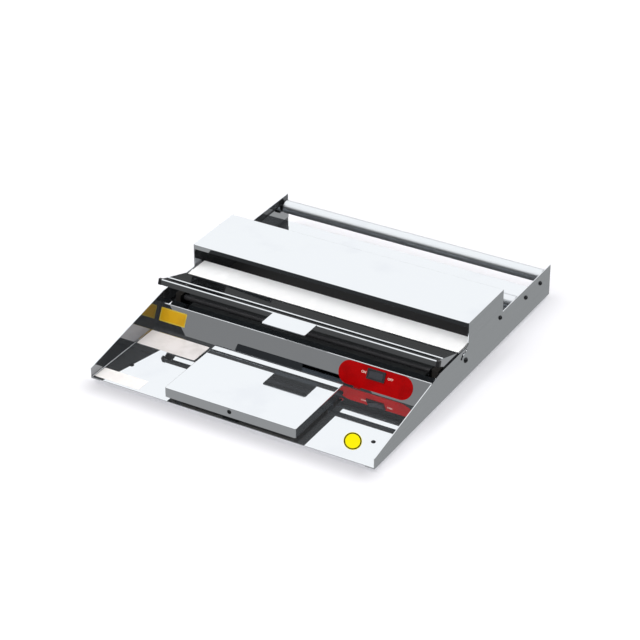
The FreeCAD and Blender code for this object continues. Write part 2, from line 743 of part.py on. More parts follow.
# Hot plate: a shallow pan upside down on four posts, held by one screw through its skirt into an angle.
def hot_plate():
    corners = [(-plate_half, plate_front), (plate_half, plate_front),
               (plate_half, plate_back), (-plate_half, plate_back)]
    pan = profile("pan_block", "XY_Plane", corners, d.plate_skirt, (0, 0, plate_top - d.plate_skirt))
    round_edges(pan, "z", corners, d.plate_corner)
    round_edges(pan, "x", [(plate_front, d.plate_skirt)], d.bend_radius)
    g = d.plate_gauge
    hollow = box("pan_hollow", (-plate_half + g, plate_front + g, plate_top - d.plate_skirt - OVERCUT),
                 (plate_half - g, plate_back - g, plate_under))
    hole = rod("skirt_hole", "y", (0, plate_front - OVERCUT, skirt_screw_z), screw_hole, g + 2 * OVERCUT)
    return cut("hot_plate", pan, [hollow, hole])


def heater_layer(name, top, gauge):
    """One sheet of the stack under the hot plate, pierced for the studs and the thermostat."""
    inset = d.heater_inset
    flat = box(f"{name}_sheet", (-plate_half + inset, plate_front + inset, top - gauge),
               (plate_half - inset, plate_back - inset, top))
    tools = [rod(f"{name}_can_hole", "z", (-d.thermostat_offset, thermostat_y, top - gauge - OVERCUT),
                 d.thermostat_radius + d.cutout_gap, gauge + 2 * OVERCUT)]
    for number, (x, y) in enumerate(stud_spots):
        tools.append(rod(f"{name}_stud_hole_{number}", "z", (x, y, top - gauge - OVERCUT),
                         d.stud_radius + d.fit_gap, gauge + 2 * OVERCUT))
    return cut(name, flat, tools)


plate_middle_y = plate_front + d.plate_depth / 2
stud_spots = [(side * d.stud_spacing / 2, plate_middle_y) for side in (-1, 1)]
insulation_top = plate_under - d.heater_gauge
clamp_top = insulation_top - d.insulation_gauge
clamp_under = clamp_top - d.clamp_gauge


def clamp_studs():
    studs = []
    length = plate_under - clamp_under + d.nut_height + d.stud_tail
    for number, (x, y) in enumerate(stud_spots):
        shank = rod(f"stud_{number}", "z", (x, y, plate_under - length), d.stud_radius, length)
        nut = hexagon(f"stud_nut_{number}", "z", (x, y, clamp_under - d.nut_height), d.nut_radius,
                      d.nut_height)
        studs.append(join(f"clamp_stud_{number}", [shank, nut]))
    return join("clamp_studs", studs)


def plate_standoffs():
    posts = []
    for i, x in enumerate((-plate_half + d.standoff_inset, plate_half - d.standoff_inset)):
        for j, y in enumerate((plate_front + d.standoff_inset, plate_back - d.standoff_inset)):
            posts.append(rod(f"post_{i}_{j}", "z", (x, y, floor), d.standoff_radius, plate_under - floor))
    return join("plate_standoffs", posts)


def plate_bracket():
    wall_y = plate_front + d.plate_gauge
    half = d.angle_width / 2
    wall = box("angle_wall", (-half, wall_y, floor),
               (half, wall_y + d.angle_gauge, skirt_screw_z + d.angle_rise))
    foot = box("angle_shoe", (-half, wall_y, floor), (half, wall_y + d.angle_foot, floor + d.angle_gauge))
    hole = rod("angle_hole", "y", (0, wall_y - OVERCUT, skirt_screw_z), screw_hole,
               d.angle_gauge + 2 * OVERCUT)
    return cut("plate_bracket", join("angle", [wall, foot]), [hole])


def plate_screw():
    head = rod("skirt_screw_head", "y", (0, plate_front - d.screw_head_height, skirt_screw_z),
               d.screw_head_radius, d.screw_head_height)
    shank = rod("skirt_screw_shank", "y", (0, plate_front, skirt_screw_z), d.screw_radius, d.screw_length)
    socket = hexagon("skirt_screw_socket", "y",
                     (0, plate_front - d.screw_head_height - OVERCUT, skirt_screw_z), d.socket_radius,
                     d.socket_depth + OVERCUT)
    return cut("plate_screw", join("skirt_screw_blank", [head, shank]), [socket])


nodes.append(hot_plate())
nodes.append(heater_layer("plate_heater", plate_under, d.heater_gauge))
nodes.append(heater_layer("plate_insulation", insulation_top, d.insulation_gauge))
nodes.append(heater_layer("heater_clamp", clamp_top, d.clamp_gauge))
nodes.append(clamp_studs())
nodes.append(rod("plate_thermostat", "z",
                 (-d.thermostat_offset, thermostat_y, plate_under - d.thermostat_height),
                 d.thermostat_radius, d.thermostat_height))
nodes.append(plate_standoffs())
nodes.append(plate_bracket())
nodes.append(plate_screw())


# Film holder flap: a plate on two cheeks, with a front lip, a film slot, a bead behind it and a level tab.
# Its pieces lie round the pivot, with the plate level and running forward, and are tilted up together.
flap_back = d.flap_length - d.flap_reach
flap_front = -d.flap_reach
flap_under = d.flap_rise - d.flap_gauge
lip_inside = flap_front + d.flap_gauge
tilt = d.flap_tilt
edge_y = pivot_y - d.flap_reach * cosine(tilt) + d.flap_rise * sine(tilt)
edge_z = pivot_z + d.flap_reach * sine(tilt) + d.flap_rise * cosine(tilt)


def flap_cheek():
    corners = [
        (0, -d.cheek_radius), (lip_inside, d.flap_rise - d.flap_lip), (lip_inside, flap_under),
        (flap_back, flap_under), (0, d.cheek_radius),
    ]
    flat = profile("cheek_sheet", "YZ_Plane", corners, d.flap_gauge, (cheek_inner, 0, 0))
    disc = rod("cheek_disc", "x", (cheek_inner, 0, 0), d.cheek_radius, d.flap_gauge)
    hole_length = d.flap_gauge + 2 * OVERCUT
    pivot_hole = rod("cheek_pivot_hole", "x", (cheek_inner - OVERCUT, 0, 0), d.pivot_radius + d.running_gap,
                     hole_length)
    stop_turn = d.stop_angle + tilt
    stop_hole = rod("cheek_stop_hole", "x",
                    (cheek_inner - OVERCUT, d.stop_reach * cosine(stop_turn), d.stop_reach * sine(stop_turn)),
                    d.stop_pin_radius + d.fit_gap, hole_length)
    return cut("cheek", join("cheek_blank", [flat, disc]), [pivot_hole, stop_hole])


def flap_plate():
    corners = [
        (flap_back, d.flap_rise), (flap_front, d.flap_rise), (flap_front, d.flap_rise - d.flap_lip),
        (lip_inside, d.flap_rise - d.flap_lip), (lip_inside, flap_under), (flap_back, flap_under),
    ]
    folded = profile("flap_sheet", "YZ_Plane", corners, 2 * cheek_outer, (-cheek_outer, 0, 0))
    round_edges(folded, "x", [(flap_front, d.flap_rise)], d.flap_bead)
    slot_half = cheek_outer - d.film_slot_end
    slot_front = flap_front + d.film_slot_inset
    slot = box("flap_film_slot", (-slot_half, slot_front, flap_under - OVERCUT),
               (slot_half, slot_front + d.film_slot_width, d.flap_rise + OVERCUT))
    slotted = cut("flap_slotted", folded, [slot])
    bead = rod("flap_bead_rod", "x",
               (-cheek_outer, flap_front + d.flap_bead_inset, d.flap_rise + d.flap_bead_proud - d.flap_bead),
               d.flap_bead, 2 * cheek_outer)
    cheek = flap_cheek()
    level = join("flap_level", [slotted, bead, cheek, mirror(cheek)])
    place(level, (0, pivot_y, pivot_z), X_AXIS, -tilt)
    half = d.tab_width / 2
    corners = [(-half, edge_y - d.tab_depth), (half, edge_y - d.tab_depth),
               (half, edge_y + d.flap_gauge / 2), (-half, edge_y + d.flap_gauge / 2)]
    tab = profile("tab_sheet", "XY_Plane", corners, d.flap_gauge, (0, 0, edge_z - d.flap_gauge))
    round_edges(tab, "z", corners[:2], d.tab_corner)
    return join("flap_plate", [level, tab])


def stop_pins():
    pin = rod("stop_pin", "x",
              (cheek_inner, pivot_y + d.stop_reach * cosine(d.stop_angle),
               pivot_z + d.stop_reach * sine(d.stop_angle)),
              d.stop_pin_radius, outer + d.stop_pin_proud - cheek_inner)
    return pair("stop_pins", pin)


def flap_pivot_pins():
    start = cheek_inner - d.pivot_tail
    shank = rod("pivot_shank", "x", (start, pivot_y, pivot_z), d.pivot_radius, outer - start)
    head = rod("pivot_head", "x", (outer, pivot_y, pivot_z), d.pivot_head_radius, d.side_head_height)
    socket = hexagon("pivot_socket", "x", (outer + d.side_head_height - d.socket_depth, pivot_y, pivot_z),
                     d.socket_radius, d.socket_depth + OVERCUT)
    return pair("flap_pivot_pins", cut("pivot_pin", join("pivot_blank", [shank, head]), [socket]))


nodes.append(flap_plate())
nodes.append(stop_pins())
nodes.append(flap_pivot_pins())


# Film rollers: tubes on plain end bushes that turn on fixed shafts.
roller_end = inner - d.roller_end_gap
tube_bore = d.roller_radius - d.roller_wall


def roller(name, y):
    """The tube of one roller."""
    whole = rod(f"{name}_bar", "x", (-roller_end, y, roller_z), d.roller_radius, 2 * roller_end)
    bore = rod(f"{name}_bore", "x", (-roller_end - OVERCUT, y, roller_z), tube_bore,
               2 * (roller_end + OVERCUT))
    return cut(name, whole, [bore])


def bushes(name, y):
    """The two bushes in the ends of one roller."""
    plug = rod(f"{name}_plug", "x", (roller_end - d.bush_length, y, roller_z), tube_bore - d.fit_gap,
               d.bush_length)
    bore = rod(f"{name}_bore", "x", (roller_end - d.bush_length - OVERCUT, y, roller_z),
               d.shaft_radius + d.running_gap, d.bush_length + 2 * OVERCUT)
    return pair(name, cut(f"{name}_one", plug, [bore]))


def shaft(name, y):
    """The fixed shaft of one roller, lying in the brackets' slots."""
    half = inner - d.shaft_end_gap
    return rod(name, "x", (-half, y, roller_z), d.shaft_radius, 2 * half)


for word, roller_y in (("rear", rear_roller_y), ("front", front_roller_y)):
    nodes.append(roller(f"{word}_roller", roller_y))
    nodes.append(bushes(f"{word}_roller_bushes", roller_y))
    nodes.append(shaft(f"{word}_roller_shaft", roller_y))


# Roller brackets: plates inside the side panels with a slot from above for each shaft.
def roller_bracket(name):
    plate_left = inner - d.bracket_gauge
    top = base + d.bracket_top
    low_y = front_roller_y - d.bracket_margin
    high_y = rear_roller_y + d.bracket_margin
    plate = box(f"{name}_sheet", (plate_left, low_y, base + d.bracket_bottom), (inner, high_y, top))
    length = d.bracket_gauge + 2 * OVERCUT
    slot_half = d.shaft_radius + d.fit_gap
    tools = []
    for number, y in enumerate((front_roller_y, rear_roller_y)):
        tools.append(box(f"{name}_slot_{number}", (plate_left - OVERCUT, y - slot_half, roller_z),
                         (inner + OVERCUT, y + slot_half, top + OVERCUT)))
        tools.append(rod(f"{name}_seat_{number}", "x", (plate_left - OVERCUT, y, roller_z), slot_half,
                         length))
    for number, y in enumerate(bracket_screw_spots):
        tools.append(rod(f"{name}_hole_{number}", "x", (plate_left - OVERCUT, y, bracket_screw_z),
                         screw_hole, length))
    return cut(name, plate, tools)


right_bracket = roller_bracket("right_roller_bracket")
left_bracket = mirror(right_bracket)
left_bracket.Label = "left_roller_bracket"
nodes.append(right_bracket)
nodes.append(left_bracket)


# Guide bar under the cover's back edge, with a tapped hole in each end.
def guide_bar():
    bar = rod("guide_round", "x", (-inner, guide_y, guide_z), d.guide_radius, 2 * inner)
    depth = d.screw_length - d.panel_gauge + OVERCUT
    holes = [rod(f"guide_end_{word}", "x", (start, guide_y, guide_z), screw_hole, depth + OVERCUT)
             for word, start in (("left", -inner - OVERCUT), ("right", inner - depth))]
    return cut("guide_bar", bar, holes)


def side_screws():
    """The screws of both brackets and of the guide bar, their heads on the side panels."""
    spots = [(guide_y, guide_z)] + [(y, bracket_screw_z) for y in bracket_screw_spots]
    screws = []
    for number, (y, z) in enumerate(spots):
        head = rod(f"side_head_{number}", "x", (outer, y, z), d.screw_head_radius, d.side_head_height)
        shank = rod(f"side_shank_{number}", "x", (outer - d.screw_length, y, z), d.screw_radius,
                    d.screw_length)
        socket = hexagon(f"side_socket_{number}", "x", (outer + d.side_head_height - d.socket_depth, y, z),
                         d.socket_radius, d.socket_depth + OVERCUT)
        screws.append(cut(f"side_screw_{number}", join(f"side_blank_{number}", [head, shank]), [socket]))
    return pair("side_screws", join("right_side_screws", screws))


nodes.append(guide_bar())
nodes.append(side_screws())


# Feet: rubber cones under the floor, each on a screw from above with its nut up in a well.
def rubber_feet():
    feet = []
    for number, (x, y) in enumerate(foot_spots):
        cone = doc.addObject("Part::Cone", f"foot_cone_{number}")
        bind(cone, "Radius1", d.foot_radius - d.foot_taper)
        bind(cone, "Radius2", d.foot_radius)
        bind(cone, "Height", floor_under)
        place(cone, (x, y, 0))
        well = rod(f"foot_well_{number}", "z", (x, y, -OVERCUT), d.foot_well_radius,
                   d.foot_well_depth + OVERCUT)
        hole = rod(f"foot_bore_{number}", "z", (x, y, 0), screw_hole, floor_under + OVERCUT)
        feet.append(cut(f"foot_{number}", cone, [well, hole]))
    return join("rubber_feet", feet)


def foot_screws():
    screws = []
    tail = d.foot_well_depth - d.nut_height
    for number, (x, y) in enumerate(foot_spots):
        shank = rod(f"foot_shank_{number}", "z", (x, y, tail), d.screw_radius, floor - tail)
        head = rod(f"foot_head_{number}", "z", (x, y, floor), d.screw_head_radius, d.screw_head_height)
        socket = hexagon(f"foot_socket_{number}", "z", (x, y, floor + d.screw_head_height - d.socket_depth),
                         d.socket_radius, d.socket_depth + OVERCUT)
        screws.append(cut(f"foot_screw_{number}", join(f"foot_blank_{number}", [shank, head]), [socket]))
    return join("foot_screws", screws)


def foot_nuts():
    nuts = []
    for number, (x, y) in enumerate(foot_spots):
        bottom = d.foot_well_depth - d.nut_height
        whole = hexagon(f"foot_nut_{number}", "z", (x, y, bottom), d.nut_radius, d.nut_height)
        bore = rod(f"foot_nut_bore_{number}", "z", (x, y, bottom - OVERCUT), screw_hole,
                   d.nut_height + 2 * OVERCUT)
        nuts.append(cut(f"foot_nut_whole_{number}", whole, [bore]))
    return join("foot_nuts", nuts)


nodes.append(rubber_feet())
nodes.append(foot_screws())
nodes.append(foot_nuts())


# Mains side: an inlet flush in the left panel, a terminal block on the floor and the leads between.
def power_inlet():
    half_y = d.inlet_length / 2
    half_z = d.inlet_width / 2
    inside_x = -inner + d.inlet_depth
    body = box("inlet_body", (-outer, inlet_y - half_y, inlet_z - half_z),
               (inside_x, inlet_y + half_y, inlet_z + half_z))
    flange = box("inlet_collar", (-inner, inlet_y - half_y - d.inlet_rim, inlet_z - half_z - d.inlet_rim),
                 (-inner + d.inlet_flange, inlet_y + half_y + d.inlet_rim, inlet_z + half_z + d.inlet_rim))
    w = d.inlet_wall
    bottom_x = -outer + d.inlet_well
    well = box("inlet_socket", (-outer - OVERCUT, inlet_y - half_y + w, inlet_z - half_z + w),
               (bottom_x, inlet_y + half_y - w, inlet_z + half_z - w))
    blades = []
    for number, side in enumerate((-1, 0, 1)):
        y = inlet_y + side * d.blade_spread
        blades.append(box(f"blade_{number}",
                          (bottom_x - d.blade_length, y - d.blade_gauge / 2, inlet_z - d.blade_width / 2),
                          (bottom_x + w, y + d.blade_gauge / 2, inlet_z + d.blade_width / 2)))
    return join("power_inlet", [cut("inlet_shell", join("inlet_blank", [body, flange]), [well])] + blades)


def terminal_block():
    block = box("block_body", (block_x - d.block_length / 2, block_y - d.block_depth / 2, floor),
                (block_x + d.block_length / 2, block_y + d.block_depth / 2, floor + d.block_height))
    wells = [rod(f"block_well_{number}", "z",
                 (block_x + side * d.block_well_pitch, block_y, floor + d.block_height - d.block_well_depth),
                 d.block_well_radius, d.block_well_depth + OVERCUT)
             for number, side in enumerate((-1, 0, 1))]
    return cut("terminal_block", block, wells)


def lead(name, route):
    """An insulated lead along straight runs joined by tangent arcs."""
    spots = [FreeCAD.Vector(*(as_size(size).value for size in spot)) for spot in route]
    edges = []
    start = spots[0]
    length = 0.0
    for before, corner, after in zip(spots, spots[1:], spots[2:]):
        to_before = (before - corner).normalize()
        to_after = (after - corner).normalize()
        half_turn = (math.pi - to_before.getAngle(to_after)) / 2
        reach = 0.45 * min((before - corner).Length, (after - corner).Length)
        radius = reach / math.tan(half_turn)
        arc_start = corner + to_before * reach
        arc_end = corner + to_after * reach
        inward = (to_before + to_after).normalize()
        arc_middle = corner + inward * (radius / math.cos(half_turn) - radius)
        edges.append(Part.LineSegment(start, arc_start).toShape())
        edges.append(Part.Arc(arc_start, arc_middle, arc_end).toShape())
        length += (arc_start - start).Length + 2 * half_turn * radius
        start = arc_end
    edges.append(Part.LineSegment(start, spots[-1]).toShape())
    length += (spots[-1] - start).Length
    radius = d.lead_radius.value
    section = Part.Wire([Part.Circle(spots[0], spots[1] - spots[0], radius).toShape()])
    tube = Part.Wire(edges).makePipeShell([section], True, False)
    if abs(tube.Volume / (math.pi * radius ** 2 * length) - 1) > 0.01:
        raise SystemExit(f"{name}: the tube's volume is not its section times its length")
    print(f"{name}: {length:.0f} mm")
    thing = doc.addObject("Part::Feature", name)
    thing.Shape = tube
    return thing


def leads():
    block_left = block_x - d.block_length / 2
    block_right = block_x + d.block_length / 2
    block_front = block_y - d.block_depth / 2
    under_floor = floor_under - 1.5 * d.lead_radius
    low = floor + 2.5 * d.lead_radius
    high = floor + 2 / 3 * d.block_height
    row = block_right - d.lead_radius - OVERCUT
    inlet_lead = lead("inlet_lead", [
        (-inner + d.inlet_depth, inlet_y, inlet_z), (row - 4 * d.lead_radius, inlet_y, inlet_z),
        (row - 4 * d.lead_radius, block_front, inlet_z)])
    plate_lead = lead("plate_lead", [
        (-d.thermostat_offset, thermostat_y, plate_under - d.thermostat_height),
        (-d.thermostat_offset, thermostat_y, under_floor),
        (-d.thermostat_offset, plate_lead_exit_y, under_floor),
        (-d.thermostat_offset, plate_lead_exit_y, high), (row, plate_lead_exit_y, high),
        (row, block_front, high)])
    cutter_lead = lead("cutter_lead", [
        (block_left + 4 * d.lead_radius, block_front, low), (block_left + 4 * d.lead_radius, cutter_y, low),
        (-insulator_middle, cutter_y, low), (-insulator_middle, cutter_y, cutter_z - d.insulator_side / 2)])
    run_in = 16 * d.lead_radius
    tail = on_console(switch_x, d.switch_rise, -d.switch_depth - run_in)
    switch_lead = lead("switch_lead", [
        (block_right, block_y, tail[2]), (switch_x, block_y, tail[2]), tail,
        on_console(switch_x, d.switch_rise, -d.switch_depth)])
    return join("leads", [inlet_lead, plate_lead, cutter_lead, switch_lead])


nodes.append(power_inlet())
nodes.append(terminal_block())
nodes.append(leads())


# Write every piece once the whole document is sound.
doc.recompute()
faults = [thing.Label for thing in doc.Objects if "Invalid" in thing.State or "Error" in thing.State]
faults += [thing.Label for thing in nodes if thing.Shape.isNull() or not thing.Shape.isValid()]
if faults:
    raise SystemExit(f"not sound: {faults}")
os.makedirs("parts", exist_ok=True)
for thing in nodes:
    thing.Shape.exportStep(f"parts/{thing.Label}.step")
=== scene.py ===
import math

import bmesh
import bpy
from mathutils import Matrix, Vector


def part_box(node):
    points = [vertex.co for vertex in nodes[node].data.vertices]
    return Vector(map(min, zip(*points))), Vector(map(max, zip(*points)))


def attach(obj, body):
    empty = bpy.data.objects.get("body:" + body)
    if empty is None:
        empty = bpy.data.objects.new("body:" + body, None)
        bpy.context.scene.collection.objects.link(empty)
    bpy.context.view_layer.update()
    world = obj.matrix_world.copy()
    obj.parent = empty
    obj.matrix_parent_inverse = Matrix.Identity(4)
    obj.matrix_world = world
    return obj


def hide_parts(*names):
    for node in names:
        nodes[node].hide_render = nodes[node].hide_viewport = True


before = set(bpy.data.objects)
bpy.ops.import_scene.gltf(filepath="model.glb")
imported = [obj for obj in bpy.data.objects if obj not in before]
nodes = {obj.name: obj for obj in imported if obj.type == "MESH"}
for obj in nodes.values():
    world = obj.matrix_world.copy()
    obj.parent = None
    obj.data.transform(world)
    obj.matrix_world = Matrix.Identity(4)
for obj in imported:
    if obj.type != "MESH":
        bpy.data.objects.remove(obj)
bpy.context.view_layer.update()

# Camera: a long lens ahead of the machine's right front corner, looking down on it as the photograph does.
# It turns round the machine from straight ahead, then rises, and aims close to the middle of the body.
camera_turn = math.radians(30.135)
camera_rise = math.radians(30.56)
camera_distance = 3.56088
camera_aim = Vector((-0.01254, -0.00053, 0.02919))
camera = bpy.data.objects.new("camera", bpy.data.cameras.new("camera"))
camera.data.sensor_width = 36.0
camera.data.lens = 129.79
away = Vector((math.sin(camera_turn) * math.cos(camera_rise),
               -math.cos(camera_turn) * math.cos(camera_rise),
               math.sin(camera_rise)))
camera.location = camera_aim + away * camera_distance
camera.rotation_euler = away.to_track_quat("Z", "Y").to_euler()
bpy.context.scene.collection.objects.link(camera)
bpy.context.scene.camera = camera


# Tray floor: one flat stainless sheet, mirror polished, that runs under everything from the front edge to
# the back and rests on the folded hems of the side panels. Under the cover, where film passes, it is
# painted black, as painted shade for the dark space under the cover.
class Wire:
    """A socket of a node tree. Arithmetic on it adds Math nodes, and node() adds any other node."""

    def __init__(self, tree, socket=None):
        self.tree = tree
        self.socket = socket

    def node(self, kind, settings=(), inputs=(), output=0):
        """Add a node: its settings first, then the values or links of its sockets."""
        made = self.tree.nodes.new(kind)
        for name, value in dict(settings).items():
            setattr(made, name, value)
        for name, value in dict(inputs).items():
            for one in value if isinstance(value, list) else [value]:
                if isinstance(one, Wire):
                    self.tree.links.new(one.socket, made.inputs[name])
                else:
                    made.inputs[name].default_value = one
        return Wire(self.tree, made.outputs[output] if made.outputs else None)

    def out(self, name):
        """Another output of the same node."""
        return Wire(self.tree, self.socket.node.outputs[name])

    def math(self, operation, first, second):
        return self.node("ShaderNodeMath", {"operation": operation}, {0: first, 1: second})

    def __add__(self, other):
        return self.math("ADD", self, other)

    def __radd__(self, other):
        return self.math("ADD", other, self)

    def __sub__(self, other):
        return self.math("SUBTRACT", self, other)

    def __rsub__(self, other):
        return self.math("SUBTRACT", other, self)

    def __mul__(self, other):
        return self.math("MULTIPLY", self, other)

    def __rmul__(self, other):
        return self.math("MULTIPLY", other, self)

    def __truediv__(self, other):
        return self.math("DIVIDE", self, other)

    def __rtruediv__(self, other):
        return self.math("DIVIDE", other, self)

    def __gt__(self, other):
        return self.math("GREATER_THAN", self, other)

    def __lt__(self, other):
        return self.math("LESS_THAN", self, other)

    def eased(self, low, high):
        """0 below low and 1 above high, with a smooth step between."""
        return self.node("ShaderNodeMapRange", {"interpolation_type": "SMOOTHSTEP"},
                         {"Value": self, "From Min": low, "From Max": high})

    def blend(self, without, full):
        """One colour where this mask is 0 and another where it is 1."""
        return self.node("ShaderNodeMix", {"data_type": "RGBA"}, {"Factor": self, 6: without, 7: full}, 2)

    def grain(self, scale, detail=3.0):
        """Noise on this place, drawn out by a scale for each axis, in cycles per metre."""
        drawn = self.node("ShaderNodeMapping", {}, {"Vector": self, "Scale": scale})
        return self.node("ShaderNodeTexNoise", {}, {"Vector": drawn, "Scale": 1.0, "Detail": detail})

    def axis(self, name):
        """One coordinate of this place or direction."""
        return self.node("ShaderNodeSeparateXYZ", {}, {"Vector": self}, name)

    def bump(self, strength, depth):
        """A normal that follows this height."""
        return self.node("ShaderNodeBump", {}, {"Height": self, "Strength": strength, "Distance": depth})


def paint(red, green, blue):
    """A colour given in the 0 to 255 of a paint chip, as the shader wants it."""
    channels = []
    for level in (red / 255, green / 255, blue / 255):
        channels.append(level / 12.92 if level <= 0.04045 else ((level + 0.055) / 1.055) ** 2.4)
    return (*channels, 1.0)


def material(name, metallic=0.0):
    """A new material with its shader, and a wire at the place on the piece."""
    made = bpy.data.materials.new(name)
    made.use_nodes = True
    shader = made.node_tree.nodes["Principled BSDF"]
    shader.inputs["Metallic"].default_value = metallic
    place = Wire(made.node_tree).node("ShaderNodeTexCoord", output="Object")
    return made, shader, place


def feed(shader, **sockets):
    """Link wires to the shader's sockets, named in lower case with underscores."""
    for name, wire in sockets.items():
        socket = shader.inputs[name.replace("_", " ").title()]
        wire.tree.links.new(wire.socket, socket)


def dress(finish, *names):
    """Give CAD nodes their material."""
    for name in names:
        nodes[name].data.materials.clear()
        nodes[name].data.materials.append(finish)


MIRROR_BRIGHT = paint(241, 245, 249)
MIRROR_SOILED = paint(237, 241, 246)


def polished(place, along):
    """Colour and roughness of mirror-polished sheet: rolling streaks and a few handling marks."""
    streaks = place.grain(along)
    marks = place.grain((14, 14, 14)).eased(0.52, 0.75)
    return marks.blend(MIRROR_BRIGHT, MIRROR_SOILED), 0.012 + 0.02 * streaks + 0.02 * marks


def mirror_steel(name, along):
    """Mirror-polished sheet, rolled along one way."""
    made, shader, place = material(name, metallic=1.0)
    colour, roughness = polished(place, along)
    feed(shader, base_color=colour, roughness=roughness)
    return made


ALONG_X = (6, 900, 900)
ALONG_Y = (900, 6, 900)
ROUND_X = (1500, 40, 40)
PAINTED_SHADE_BLACK = paint(24, 24, 25)
painted_shade_dullness = 0.5
painted_shade_shine = 0.15
tray_haze = 0.03


def tray_steel(painted_shade_start, painted_shade_end):
    """Mirror polish with a slight haze, and a black band of painted shade between two places along the
    tray.
    """
    made, shader, place = material("tray_steel")
    along = place.axis("Y")
    # Painted shade: the floor is painted black and dulled under the cover, where the space under it is
    # dark.
    painted_shade_band = (along > painted_shade_start) * (along < painted_shade_end)
    colour, roughness = polished(place, ALONG_Y)
    feed(shader, base_color=painted_shade_band.blend(colour, PAINTED_SHADE_BLACK), roughness=roughness + painted_shade_band * painted_shade_dullness,
         metallic=(1 - tray_haze) * (1 - painted_shade_band))
    shader.inputs["Specular IOR Level"].default_value = painted_shade_shine
    return made


# The painted shade under the cover reaches a little ahead of the deck's back edge and a little behind the
# cover's.
lap_ahead = 0.02
lap_behind = 0.012
deck_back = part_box("deck_plate")[1].y
cover_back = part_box("cover_shelf")[1].y
dress(tray_steel(deck_back - lap_ahead, cover_back + lap_behind), "base_plate")


# Side panels: laser-cut stainless sheet with a sloped nose and a hump, hemmed in at the bottom.
# The inside is a darker, hazy polish; the outside has a fine brushed grain along its length.
SATIN_PALE = paint(240, 245, 248)
SATIN_DEEP = paint(226, 232, 236)


def brushed(place, along):
    """Colour and roughness of brushed sheet."""
    lines = place.grain(along, 4.0)
    patches = place.grain((7, 7, 7))
    return lines.blend(SATIN_DEEP, SATIN_PALE), 0.1 + 0.06 * lines + 0.04 * patches


HAZE_PALE = paint(156, 159, 163)
HAZE_DEEP = paint(146, 149, 153)
haze = 0.1


def side_steel(name, outward):
    """Brushed on the face that looks outward along X, a hazy polish on the one that looks in."""
    made, shader, place = material(name)
    facing = place.out("Normal").axis("X") * outward
    outside = facing > 0.5
    inside = facing < -0.5
    bright, smooth = polished(place, ALONG_Y)
    dull, rough = brushed(place, ALONG_Y)
    hazy = place.grain((14, 14, 14)).blend(HAZE_DEEP, HAZE_PALE)
    feed(shader, base_color=inside.blend(outside.blend(bright, dull), hazy),
         roughness=smooth + outside * (rough - smooth), metallic=1 - haze * inside)
    return made


dress(side_steel("left_side_steel", -1), "left_side_panel")
dress(side_steel("right_side_steel", 1), "right_side_panel")


# Feet: black rubber cones under the floor, each on a button-head screw put in from above, with its
# nut sunk in a well in the rubber.
def rubber(name, chip):
    """Moulded rubber with a fine speckle and a pale bloom."""
    made, shader, place = material(name)
    speckle = place.grain((2600, 2600, 2600), 2.0)
    bloom = place.grain((60, 60, 60)).eased(0.45, 0.8)
    feed(shader, base_color=bloom.blend(paint(*chip), paint(*(level + 22 for level in chip))),
         roughness=0.62 + 0.2 * speckle, normal=speckle.bump(0.25, 0.0002))
    return made


def plated_steel(name, chip):
    """Small turned hardware: a dark plated metal with fine tool marks."""
    made, shader, place = material(name, metallic=1.0)
    marks = place.grain((1800, 1800, 1800), 2.0)
    rub = place.grain((300, 300, 300)).eased(0.5, 0.8)
    feed(shader, base_color=rub.blend(paint(*chip), paint(*(level + 40 for level in chip))),
         roughness=0.24 + 0.2 * marks)
    return made


def screw_tree():
    """A tree that puts a domed screw with a hexagon socket on each point, along the point's axis."""
    tree = bpy.data.node_groups.new("button_head_screws", "GeometryNodeTree")
    tree.interface.new_socket("Spots", in_out="INPUT", socket_type="NodeSocketGeometry")
    for size in ("Head Radius", "Head Height", "Socket Radius", "Socket Depth",
                 "Shank Radius", "Shank Length"):
        tree.interface.new_socket(size, in_out="INPUT", socket_type="NodeSocketFloat")
    tree.interface.new_socket("Metal", in_out="INPUT", socket_type="NodeSocketMaterial")
    tree.interface.new_socket("Screws", in_out="OUTPUT", socket_type="NodeSocketGeometry")
    spots = Wire(tree).node("NodeGroupInput")
    radius = spots.out("Head Radius")
    height = spots.out("Head Height")
    shank_length = spots.out("Shank Length")

    def bar(vertices, bar_radius, depth, middle):
        upright = spots.node("GeometryNodeMeshCylinder", {},
                             {"Vertices": vertices, "Radius": bar_radius, "Depth": depth})
        lift = spots.node("ShaderNodeCombineXYZ", {}, {"Z": middle})
        return spots.node("GeometryNodeTransform", {}, {"Geometry": upright, "Translation": lift})

    ball_radius = (radius * radius + height * height) / (2 * height)
    ball = spots.node("GeometryNodeMeshUVSphere", {}, {"Segments": 64, "Rings": 96, "Radius": ball_radius})
    drop = spots.node("ShaderNodeCombineXYZ", {}, {"Z": height - ball_radius})
    ball = spots.node("GeometryNodeTransform", {}, {"Geometry": ball, "Translation": drop})
    dome = spots.node("GeometryNodeMeshBoolean", {"operation": "INTERSECT"},
                      {"Mesh 2": [ball, bar(48, radius, height, height / 2)]})
    depth = spots.out("Socket Depth")
    socket = bar(6, spots.out("Socket Radius"), 2 * depth, height)
    head = spots.node("GeometryNodeMeshBoolean", {"operation": "DIFFERENCE"},
                      {"Mesh 1": dome, "Mesh 2": [socket]})
    shank = bar(24, spots.out("Shank Radius"), shank_length, shank_length / -2)
    screw = spots.node("GeometryNodeJoinGeometry", {}, {"Geometry": [head, shank]})
    axis = spots.node("GeometryNodeInputNamedAttribute", {"data_type": "FLOAT_VECTOR"}, {"Name": "axis"})
    turn = spots.node("FunctionNodeAlignRotationToVector", {"axis": "Z"}, {"Vector": axis})
    placed = spots.node("GeometryNodeInstanceOnPoints", {},
                        {"Points": spots, "Instance": screw, "Rotation": turn})
    real = spots.node("GeometryNodeRealizeInstances", {}, {"Geometry": placed})
    coated = spots.node("GeometryNodeSetMaterial", {}, {"Geometry": real, "Material": spots.out("Metal")})
    spots.node("NodeGroupOutput", {}, {0: coated})
    return tree


